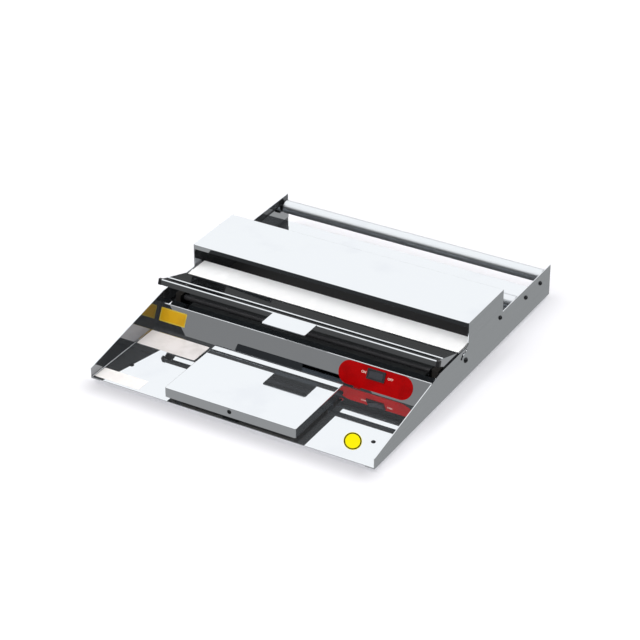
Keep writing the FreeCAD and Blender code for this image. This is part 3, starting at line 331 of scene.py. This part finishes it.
def show(name, mesh, body, sharp=math.radians(35)):
    """Put a finished mesh in the scene, riding on a body."""
    mesh.shade_smooth()
    mesh.set_sharp_from_angle(angle=sharp)
    mesh.name = name
    piece = bpy.data.objects.new(name, mesh)
    bpy.context.scene.collection.objects.link(piece)
    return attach(piece, body)


def screws(name, spots, sizes, metal):
    """Screws at (place, axis) spots, as one mesh on the housing."""
    seed = bpy.data.meshes.new(f"{name}_spots")
    seed.from_pydata([place for place, axis in spots], [], [])
    axes = seed.attributes.new("axis", "FLOAT_VECTOR", "POINT")
    for item, (place, axis) in zip(axes.data, spots):
        item.vector = axis
    holder = bpy.data.objects.new(f"{name}_spots", seed)
    bpy.context.scene.collection.objects.link(holder)
    modifier = holder.modifiers.new("screws", "NODES")
    modifier.node_group = SCREW_TREE
    values = dict(sizes, Metal=metal)
    for item in SCREW_TREE.interface.items_tree:
        if item.name in values:
            modifier[item.identifier] = values[item.name]
    seen = holder.evaluated_get(bpy.context.evaluated_depsgraph_get())
    mesh = bpy.data.meshes.new_from_object(seen)
    holder.modifiers.remove(modifier)
    bpy.data.objects.remove(holder)
    return show(name, mesh, "housing")


SCREW_TREE = screw_tree()
SCREW_SIZES = {"Head Radius": 0.0036, "Head Height": 0.002, "Socket Radius": 0.0019,
               "Socket Depth": 0.0011, "Shank Radius": 0.002, "Shank Length": 0.008}
screw_steel = plated_steel("dark_screw_steel", (58, 60, 62))
floor_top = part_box("base_plate")[1].z
foot_across = 0.2085
foot_along = 0.229
foot_spots = [(Vector((x, y, floor_top)), Vector((0, 0, 1)))
              for x in (-foot_across, foot_across) for y in (-foot_along, foot_along)]
foot_sizes = dict(SCREW_SIZES, **{"Shank Length": floor_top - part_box("foot_screws")[0].z})
foot_screws = screws("foot_button_screws", foot_spots, foot_sizes, screw_steel)
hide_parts("foot_screws")
zinc = plated_steel("zinc_plated_steel", (150, 152, 150))
dress(zinc, "foot_nuts")
dress(rubber("foot_rubber", (24, 24, 25)), "rubber_feet")


# Hot plate: a polished pan of thicker sheet, upside down over a mica heater, a wool pad and a clamp plate.
# Four ceramic posts carry it, and one screw through its skirt holds it to an angle bracket.
plate_haze = 0.04


def wiped_steel(name, along):
    """Mirror polish, with the slight haze of much wiping on the face that looks up."""
    made, shader, place = material(name)
    colour, roughness = polished(place, along)
    top = place.out("Normal").axis("Z") > 0.5
    feed(shader, base_color=colour, roughness=roughness, metallic=1 - plate_haze * top)
    return made


plate_steel = wiped_steel("hot_plate_steel", ALONG_X)
dress(plate_steel, "hot_plate")
dress(screw_steel, "plate_bracket", "heater_clamp")
dress(zinc, "clamp_studs", "plate_thermostat")


def mica():
    """Pressed mica in dull flakes."""
    made, shader, place = material("mica_sheet")
    flakes = place.node("ShaderNodeTexVoronoi", {}, {"Vector": place, "Scale": 160.0}, "Color")
    tone = place.grain((90, 90, 90))
    feed(shader, base_color=tone.blend(paint(58, 52, 44), paint(86, 78, 66)),
         roughness=0.2 + 0.35 * flakes, normal=flakes.bump(0.3, 0.0002))
    return made


def wool():
    """Felted mineral fibres, drawn out across the machine."""
    made, shader, place = material("insulating_wool")
    fibres = place.grain((420, 1500, 900), 6.0)
    feed(shader, base_color=fibres.blend(paint(52, 49, 45), paint(84, 80, 74)),
         roughness=0.85 + 0.1 * fibres, normal=fibres.bump(0.8, 0.0006))
    return made


def ceramic(name, chip):
    """Fired ceramic with fine pits."""
    made, shader, place = material(name)
    pits = place.grain((1500, 1500, 1500), 4.0)
    feed(shader, base_color=pits.blend(paint(*chip), paint(*(level + 16 for level in chip))),
         roughness=0.4 + 0.2 * pits, normal=pits.bump(0.15, 0.0002))
    return made


dress(mica(), "plate_heater")
dress(wool(), "plate_insulation")
dark_ceramic = ceramic("dark_ceramic", (38, 36, 34))
dress(dark_ceramic, "plate_standoffs")
plate_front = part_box("hot_plate")[0].y
screw_low, screw_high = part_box("plate_screw")
skirt_spots = [(Vector((0, plate_front, (screw_low.z + screw_high.z) / 2)), Vector((0, -1, 0)))]
skirt_screw = screws("skirt_button_screw", skirt_spots, SCREW_SIZES, screw_steel)
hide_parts("plate_screw")


# Mains side: a black moulded inlet flush in the left panel, a pale terminal block with brass clamp screws
# on the floor under the trough, and rubber-covered leads between them, the heaters and the switch.
def moulded(name, chip, dullness):
    """Moulded plastic with a fine eroded texture."""
    made, shader, place = material(name)
    texture = place.grain((2200, 2200, 2200), 3.0)
    tone = place.grain((40, 40, 40))
    feed(shader, base_color=tone.blend(paint(*chip), paint(*(level + 12 for level in chip))),
         roughness=dullness + 0.15 * texture, normal=texture.bump(0.18, 0.0001))
    return made


dress(moulded("inlet_black", (20, 20, 21), dullness=0.38), "power_inlet")
dress(moulded("block_cream", (222, 216, 200), dullness=0.42), "terminal_block")
dress(rubber("lead_rubber", (196, 192, 184)), "leads")
block_low, block_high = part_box("terminal_block")
block_middle = (block_low + block_high) / 2
well_pitch = 0.012
well_depth = 0.006
well_floor = block_high.z - well_depth
brass = plated_steel("clamp_brass", (176, 140, 66))
clamp_spots = [(Vector((block_middle.x + step * well_pitch, block_middle.y, well_floor)), Vector((0, 0, 1)))
               for step in (-1, 0, 1)]
clamp_sizes = {"Head Radius": 0.0024, "Head Height": 0.0016, "Socket Radius": 0.0013,
               "Socket Depth": 0.0008, "Shank Radius": 0.0014, "Shank Length": 0.004}
clamp_screws = screws("block_clamp_screws", clamp_spots, clamp_sizes, brass)


# Control panel: a folded stainless sheet that leans back across the machine, with its foot on the tray
# floor. A red printed label and a black rocker switch sit at its right.
dress(mirror_steel("control_panel_steel", ALONG_X), "control_panel")


def printed(name, chip, shade, shine):
    """A printed film: its ink a little uneven, with more or less shine."""
    made, shader, place = material(name)
    cloud = place.grain((55, 55, 55), 2.0)
    dots = place.grain((1900, 1900, 1900), 1.0)
    feed(shader, base_color=cloud.eased(0.35, 0.7).blend(paint(*chip), paint(*shade)),
         roughness=0.3 + 0.12 * dots)
    shader.inputs["Specular IOR Level"].default_value = shine
    return made


dress(printed("label_red", (160, 0, 2), (146, 0, 2), shine=0.04), "switch_label")
dress(moulded("switch_black", (30, 31, 34), dullness=0.34), "switch_housing")
dress(moulded("rocker_black", (44, 45, 50), dullness=0.3), "switch_rocker")
lean = math.radians(26)
panel_foot = Vector((0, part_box("control_panel")[0].y, floor_top))
up_slope = Vector((0, math.sin(lean), math.cos(lean)))
off_slope = Vector((0, -math.cos(lean), math.sin(lean)))


def on_panel(across, up, off):
    """Where a flat piece lies on the control panel: X across, Y up the slope and Z off the face."""
    place = panel_foot + Vector((across, 0, 0)) + up_slope * up + off_slope * off
    turned = Matrix((Vector((1, 0, 0)), up_slope, off_slope)).transposed()
    return Matrix.Translation(place) @ turned.to_4x4()


def lettering(name, words, height, raised, finish, body):
    """Printed words, each with its own place, as one thin mesh."""
    whole = bmesh.new()
    for word, place in words:
        curve = bpy.data.curves.new(name, "FONT")
        curve.body = word
        curve.size = height
        curve.align_x = "CENTER"
        curve.align_y = "CENTER"
        curve.extrude = raised
        text = bpy.data.objects.new(name, curve)
        flat = bpy.data.meshes.new_from_object(text)
        flat.transform(place)
        whole.from_mesh(flat)
        bpy.data.objects.remove(text)
        bpy.data.meshes.remove(flat)
    bmesh.ops.remove_doubles(whole, verts=whole.verts, dist=1e-6)
    mesh = bpy.data.meshes.new(name)
    whole.to_mesh(mesh)
    whole.free()
    mesh.materials.clear()
    mesh.materials.append(finish)
    return show(name, mesh, body)


pale_ink = printed("pale_ink", (236, 226, 214), (224, 212, 200), shine=0.1)
bezel_low, bezel_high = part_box("switch_housing")
switch_across = (bezel_low.x + bezel_high.x) / 2
switch_up = 0.0275
label_gauge = 0.0003
ink = 0.00004
word_height = 0.0052
on_aside = 0.0212
off_aside = 0.0235
on_spot = on_panel(switch_across - on_aside, switch_up, label_gauge)
off_spot = on_panel(switch_across + off_aside, switch_up, label_gauge)
lettering("switch_words", [("ON", on_spot), ("OFF", off_spot)], word_height, ink, pale_ink, "housing")


# Cutter: a heated rod across the machine in a black coated trough. Two angle brackets carry it, with a
# ceramic block on each end.
def coated(name, chip, dullness):
    """Baked coating with a fine orange-peel skin."""
    made, shader, place = material(name)
    peel = place.grain((700, 700, 700), 2.0)
    dust = place.grain((30, 30, 30)).eased(0.5, 0.8)
    feed(shader, base_color=dust.blend(paint(*chip), paint(*(level + 9 for level in chip))),
         roughness=dullness + 0.14 * peel, normal=peel.bump(0.2, 0.0001))
    return made


dress(coated("trough_black", (42, 44, 45), dullness=0.4), "cutter_trough")
dress(screw_steel, "cutter_brackets")
dress(coated("cutter_rod_coat", (42, 42, 44), dullness=0.35), "cutter_rod")
dress(dark_ceramic, "cutter_insulators")


# Deck and cover: a white coated plate behind the cutter that the film lies on, and a polished shelf between
# the humps, folded down at the front and back. A guide bar under the shelf leads the film.
dress(coated("deck_white", (245, 245, 245), dullness=0.5), "deck_plate")
dress(mirror_steel("cover_steel", ALONG_X), "cover_shelf")
dress(mirror_steel("guide_bar_steel", ROUND_X), "guide_bar")


# Film holder flap: a polished plate on two cheeks, with a front lip, a long slot that the film is drawn up
# through, a rolled bead behind it and a level tab to lift it by. A black cap is pushed over each end of the
# lip. It swings on two pivot pins and rests on stop pins in curved slots.
dress(mirror_steel("flap_steel", ALONG_X), "flap_plate")
dress(screw_steel, "stop_pins")
side_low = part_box("left_side_panel")[0].x
side_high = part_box("right_side_panel")[1].x
both_sides = ((side_low, Vector((-1, 0, 0))), (side_high, Vector((1, 0, 0))))
pivot_along = -0.007
pivot_height = 0.0385
pivot_spots = [(Vector((x, pivot_along, pivot_height)), axis) for x, axis in both_sides]
head_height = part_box("flap_pivot_pins")[1].x - side_high
pivot_sizes = {"Head Radius": 0.0046, "Head Height": head_height, "Socket Radius": 0.0019,
               "Socket Depth": 0.0011, "Shank Radius": 0.003, "Shank Length": 0.0054}
pivot_pins = screws("pivot_pins", pivot_spots, pivot_sizes, screw_steel)
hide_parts("flap_pivot_pins")


def rounded(width, height, radius):
    """The outline of a rectangle with round corners, anticlockwise round its middle."""
    steps = 10
    points = []
    for corner, (side, end) in enumerate(((1, 1), (-1, 1), (-1, -1), (1, -1))):
        middle = Vector((side * (width / 2 - radius), end * (height / 2 - radius)))
        for step in range(steps + 1):
            turn = math.pi / 2 * (corner + step / steps)
            points.append(middle + radius * Vector((math.cos(turn), math.sin(turn))))
    return points


def joined(name, rings, place, finish, body):
    """A closed skin over rings of points, each ring as long as the next, at a place."""
    form = bmesh.new()
    loops = [[form.verts.new(point) for point in ring] for ring in rings]
    for lower, upper in zip(loops, loops[1:]):
        for a in range(len(lower)):
            b = (a + 1) % len(lower)
            form.faces.new((lower[a], lower[b], upper[b], upper[a]))
    form.faces.new(loops[-1])
    form.faces.new(reversed(loops[0]))
    bmesh.ops.recalc_face_normals(form, faces=form.faces)
    form.transform(place)
    mesh = bpy.data.meshes.new(name)
    form.to_mesh(mesh)
    form.free()
    mesh.materials.append(finish)
    return show(name, mesh, body)


flap_tilt = math.radians(18)
lip_middle = (0, -0.0968, 0.0112)
cap_depth = 0.007
cap_height = 0.0102
cap_round = 0.0018
cap_soft = 0.0005
cap_lap = 0.001
cap_reach = 0.0042
lip_place = (Matrix.Translation((0, pivot_along, pivot_height)) @ Matrix.Rotation(-flap_tilt, 4, "X")
             @ Matrix.Translation(lip_middle))
flap_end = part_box("flap_plate")[1].x
cap_nylon = moulded("cap_nylon", (20, 20, 22), dullness=0.25)
for side, outward in (("left", -1), ("right", 1)):
    rings = []
    for inset, reach in ((0, -cap_lap), (0, cap_reach - cap_soft), (cap_soft, cap_reach)):
        outline = rounded(cap_depth - 2 * inset, cap_height - 2 * inset, cap_round - inset)
        rings.append([(outward * (flap_end + reach), *point) for point in outline])
    cap = joined(f"{side}_lip_cap", rings, lip_place, cap_nylon, "flap")


# Rollers: two turned and polished tubes on nylon end bushes. Their fixed shafts lie in slotted brackets,
# each held to its side panel by two button-head screws; a third pair of screws holds the guide bar.
def turned_steel(name):
    """A tube polished in the lathe, with fine rings round it."""
    made, shader, place = material(name, metallic=1.0)
    rings = place.grain((2400, 30, 30), 2.0)
    marks = place.grain((20, 20, 20)).eased(0.5, 0.8)
    feed(shader, base_color=marks.blend(MIRROR_BRIGHT, MIRROR_SOILED), roughness=0.34 + 0.04 * rings)
    return made


tube_steel = turned_steel("roller_steel")
dress(tube_steel, "rear_roller", "front_roller")
dress(moulded("bush_nylon", (26, 26, 28), dullness=0.45), "rear_roller_bushes", "front_roller_bushes")
dress(zinc, "rear_roller_shaft", "front_roller_shaft")
dress(mirror_steel("roller_bracket_steel", ALONG_Y), "right_roller_bracket", "left_roller_bracket")
bracket_screw_height = 0.044
bracket_screws_along = (0.198, 0.250)
guide_low, guide_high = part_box("guide_bar")
guide_middle = (guide_low + guide_high) / 2
screw_places = [(guide_middle.y, guide_middle.z)]
screw_places += [(along, bracket_screw_height) for along in bracket_screws_along]
side_spots = [(Vector((x, y, z)), axis) for x, axis in both_sides for y, z in screw_places]
side_sizes = dict(SCREW_SIZES, **{"Head Height": head_height})
side_screws = screws("side_button_screws", side_spots, side_sizes, screw_steel)
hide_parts("side_screws")


# Corner seams: a fine ground weld bead along each side of the tray, where the floor meets the side panel,
# from the front edge to the foot of the control panel.
def corner_seam(name, corner, inward, leg):
    """A bead with a hollow face in the corner at one side of the tray floor."""
    steps = 6
    section = [Vector((0, 0, 0)), Vector((leg * inward, 0, 0))]
    for step in range(1, steps):
        turn = math.pi / 2 * step / steps
        section.append(Vector((leg * (1 - math.sin(turn)) * inward, 0, leg * (1 - math.cos(turn)))))
    section.append(Vector((0, 0, leg)))
    rings = []
    for along in (seam_front, panel_foot.y):
        rings.append([Vector((corner, along, floor_top)) + spot for spot in section])
    seam = joined(name, rings, Matrix(), plate_steel, "housing")


floor_low, floor_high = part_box("base_plate")
seam_setback = 0.001
seam_front = floor_low.y + seam_setback
seam_leg = 0.0009
corner_seam("left_corner_seam", floor_low.x, 1, seam_leg)
corner_seam("right_corner_seam", floor_high.x, -1, seam_leg)


# Stickers: blank adhesive labels on the tray floor and the control panel, cut with rounded corners from
# printed film a tenth of a millimetre thick.
film = 0.00012


def slab(name, width, height, radius, place, finish):
    """A piece of film with round corners and a softened upper edge, lying at a place."""
    soft = film / 3
    rings = []
    for inset, level in ((0, 0), (0, film - soft), (soft, film)):
        outline = rounded(width - 2 * inset, height - 2 * inset, radius - inset)
        rings.append([(*point, level) for point in outline])
    return joined(name, rings, place, finish, "housing")


def on_tray(across, along):
    """Where a flat piece lies on the tray floor."""
    return Matrix.Translation((across, along, floor_top))


strip_paper = printed("sticker_paper", (243, 240, 238), (236, 232, 230), shine=0.2)
sheet_paper = printed("sheet_paper", (224, 219, 218), (212, 207, 205), shine=0.2)
straw = printed("sticker_straw", (190, 166, 60), (178, 154, 52), shine=0.2)
amber = printed("sticker_amber", (192, 147, 14), (180, 136, 18), shine=0.2)
sheet_size = (0.105, 0.044)
sheet_place = on_tray(-0.1868, -0.1488)
strip_size = (0.079, 0.027)
strip_place = on_tray(-0.2, -0.2685)
sheet_corner = 0.002
sticker_size = (0.047, 0.0215)
print_size = (0.0435, 0.018)
sticker_across = -0.2135
sticker_up = 0.0224
sticker_corner = 0.001
slab("tray_sheet", *sheet_size, sheet_corner, sheet_place, sheet_paper)
slab("front_strip", *strip_size, sheet_corner, strip_place, strip_paper)
slab("panel_sticker", *sticker_size, sticker_corner, on_panel(sticker_across, sticker_up, 0), straw)
slab("panel_sticker_print", *print_size, sticker_corner, on_panel(sticker_across, sticker_up, film), amber)
OVAL_YELLOW = paint(238, 224, 0)
OVAL_RING = paint(40, 36, 8)
ring_inside = 0.82
ring_outside = 0.96
oval_shine = 0.05


def ringed_yellow(middle, turn, reach):
    """Yellow print on an oval, with a dark ring inside its edge."""
    made, shader, place = material("sticker_yellow")
    oval = place.node("ShaderNodeMapping", {"vector_type": "TEXTURE"},
                      {"Vector": place, "Location": middle, "Rotation": (0, 0, turn), "Scale": reach})
    apart = oval.node("ShaderNodeVectorMath", {"operation": "LENGTH"}, {0: oval}, "Value")
    ring = (apart > ring_inside) * (apart < ring_outside)
    dots = place.grain((1900, 1900, 1900), 1.0)
    feed(shader, base_color=ring.blend(OVAL_YELLOW, OVAL_RING), roughness=0.35 + 0.12 * dots)
    shader.inputs["Specular IOR Level"].default_value = oval_shine
    return made


oval_middle = Vector((0.1819, -0.242, floor_top))
oval_reach = Vector((0.0133, 0.023, 1.0))
oval_turn = math.radians(30)
oval_place = Matrix.LocRotScale(oval_middle, Matrix.Rotation(oval_turn, 3, "Z"), oval_reach)
oval_yellow = ringed_yellow(oval_middle, oval_turn, oval_reach)
slab("tray_oval", 2.0, 2.0, 1.0, oval_place, oval_yellow)


# Studio: a pale floor with painted shade ahead of the machine and at its right, a broad soft lamp above, a
# fill lamp in front and a white surround. The polished steel mirrors a grey floor, a dark line at the
# horizon and a grey wall low in front, all out of sight, and what it mirrors by way of another mirror is
# dimmed.
def grey(level):
    """A grey of a level from 0 to 1."""
    return (level, level, level, 1.0)


ambient = 0.5
surround_dimming = 0.967
floor_dimming = 0.7
wall_dimming = 0.75


def rays(tree):
    """Whether a ray came straight, by a mirror, or by more than one mirror, with nothing matt between."""
    path = Wire(tree).node("ShaderNodeLightPath", output="Is Camera Ray")
    straight = path.math("MAXIMUM", path, path.out("Is Transmission Ray"))
    mirrored = path.out("Is Glossy Ray") * (path.out("Diffuse Depth") < 0.5)
    again = mirrored * (path.out("Glossy Depth") > 1.5)
    return straight, mirrored, again


def stage_object(name, mesh, finish):
    """A piece of the studio, which isn't part of the machine."""
    mesh.materials.append(finish)
    thing = bpy.data.objects.new(name, mesh)
    bpy.context.scene.collection.objects.link(thing)
    return thing


# Painted shadow on the floor: a band ahead of the machine and a strip at its right are painted darker and
# lose some lift.
CARD_PALE = (0.74, 0.734, 0.762, 1.0)
CARD_PAINTED_SHADE = (0.5, 0.496, 0.518, 1.0)
CARD_MIRRORED = grey(0.31)
card_lift = 0.17
painted_shade_loss = 0.08
front_line = -0.27
front_onset = (0.006, 0.0185)
front_fade = (0.018, 0.062)
front_ends = (0.22, 0.27)
right_line = 0.2425
right_depth = 0.28
right_fade = (0.015, 0.032)
right_onset = (-0.2, -0.12)
right_end = (0.05, 0.18)


def studio_floor():
    """Pale card that keeps the machine's shadow, with painted shade ahead of it and at its right, and grey
    in the steel.
    """
    made = bpy.data.materials.new("studio_floor")
    made.use_nodes = True
    made.node_tree.nodes.clear()
    straight, mirrored, again = rays(made.node_tree)
    place = straight.node("ShaderNodeTexCoord", output="Object")
    across = place.axis("X")
    along = place.axis("Y")
    # Painted shade: darker ahead of the front edge and beside the right side, added to the real shadow.
    ahead = front_line - along
    aside = place.node("ShaderNodeMath", {"operation": "ABSOLUTE"}, {0: across})
    painted_front_band = ahead.eased(*front_onset) * (1 - ahead.eased(*front_fade))
    painted_front_shade = painted_front_band * (1 - aside.eased(*front_ends))
    beside = across - right_line
    painted_right_shade = (beside > 0) * (1 - beside.eased(*right_fade)) * along.eased(*right_onset)
    shade = painted_front_shade + right_depth * painted_right_shade * (1 - along.eased(*right_end))
    card = straight.node("ShaderNodeBsdfDiffuse", {}, {"Color": shade.blend(CARD_PALE, CARD_PAINTED_SHADE)})
    lift = straight.node("ShaderNodeEmission", {},
                         {"Strength": straight * (card_lift - painted_shade_loss * shade)})
    plain = straight.node("ShaderNodeAddShader", {}, {0: card, 1: lift})
    dark = straight.node("ShaderNodeEmission", {},
                         {"Color": CARD_MIRRORED, "Strength": 1 - floor_dimming * again})
    both = straight.node("ShaderNodeMixShader", {}, {0: mirrored, 1: plain, 2: dark})
    both.node("ShaderNodeOutputMaterial", {}, {"Surface": both})
    return made


def grey_wall(name, lower, upper, fade_start, fade_end):
    """A glow that passes from one grey to another between two heights."""
    made = bpy.data.materials.new(name)
    made.use_nodes = True
    made.node_tree.nodes.clear()
    straight, mirrored, again = rays(made.node_tree)
    place = straight.node("ShaderNodeTexCoord", output="Object")
    shade = place.axis("Z").eased(fade_start, fade_end).blend(grey(lower), grey(upper))
    seen = mirrored.blend(grey(ambient), shade)
    glow = straight.node("ShaderNodeEmission", {}, {"Color": seen, "Strength": 1 - wall_dimming * again})
    glow.node("ShaderNodeOutputMaterial", {}, {"Surface": glow})
    return made


def round_wall(name, radius, height, start, end, finish):
    """A stretch of a round wall about the machine, between two turns from straight back to the left."""
    steps = 36
    verts = []
    for step in range(steps + 1):
        turn = math.radians(start + (end - start) * step / steps)
        spot = Vector((-math.sin(turn) * radius, math.cos(turn) * radius, 0))
        verts += [spot, spot + Vector((0, 0, height))]
    faces = [(2 * i, 2 * i + 1, 2 * i + 3, 2 * i + 2) for i in range(steps)]
    mesh = bpy.data.meshes.new(name)
    mesh.from_pydata(verts, [], faces)
    wall = stage_object(name, mesh, finish)
    wall.visible_camera = False
    wall.visible_diffuse = False
    wall.visible_shadow = False


floor_half = 8.0
floor_level = -0.0002
floor_corners = [(x * floor_half, y * floor_half, floor_level)
                 for x, y in ((-1, -1), (1, -1), (1, 1), (-1, 1))]
floor_mesh = bpy.data.meshes.new("floor")
floor_mesh.from_pydata(floor_corners, [], [(0, 1, 2, 3)])
stage_object("floor", floor_mesh, studio_floor())
horizon_height = 0.16
horizon_grey = grey_wall("horizon", lower=0.055, upper=0.07, fade_start=0.0, fade_end=horizon_height)
round_wall("horizon", radius=1.0, height=horizon_height, start=0, end=360, finish=horizon_grey)
wall_height = 1.4
wall_grey = grey_wall("front_wall", lower=0.215, upper=1.0, fade_start=0.78, fade_end=wall_height)
round_wall("front_wall", radius=2.0, height=wall_height, start=90, end=270, finish=wall_grey)


def lamp(name, way, angle, energy, shadow):
    """A broad lamp that shines from a way above, and isn't mirrored itself."""
    light = bpy.data.lights.new(name, "SUN")
    light.angle = math.radians(angle)
    light.energy = energy
    light.use_shadow = shadow
    made = bpy.data.objects.new(name, light)
    made.rotation_euler = Vector(way).to_track_quat("Z", "Y").to_euler()
    made.visible_glossy = False
    bpy.context.scene.collection.objects.link(made)


lamp("soft_lamp", (-0.22, -0.45, 1.0), angle=60, energy=0.65, shadow=True)
lamp("fill_lamp", (-0.2, -0.6, 1.0), angle=70, energy=2.0, shadow=False)

world = bpy.data.worlds.new("white_surround")
bpy.context.scene.world = world
world.use_nodes = True
world.node_tree.nodes.clear()
straight, mirrored, again = rays(world.node_tree)
strength = ambient + (1 - ambient) * (straight + mirrored) - surround_dimming * again
surround = strength.node("ShaderNodeBackground", {}, {"Color": grey(1.0), "Strength": strength})
surround.node("ShaderNodeOutputWorld", {}, {"Surface": surround})
bpy.context.scene.view_settings.view_transform = "Standard"
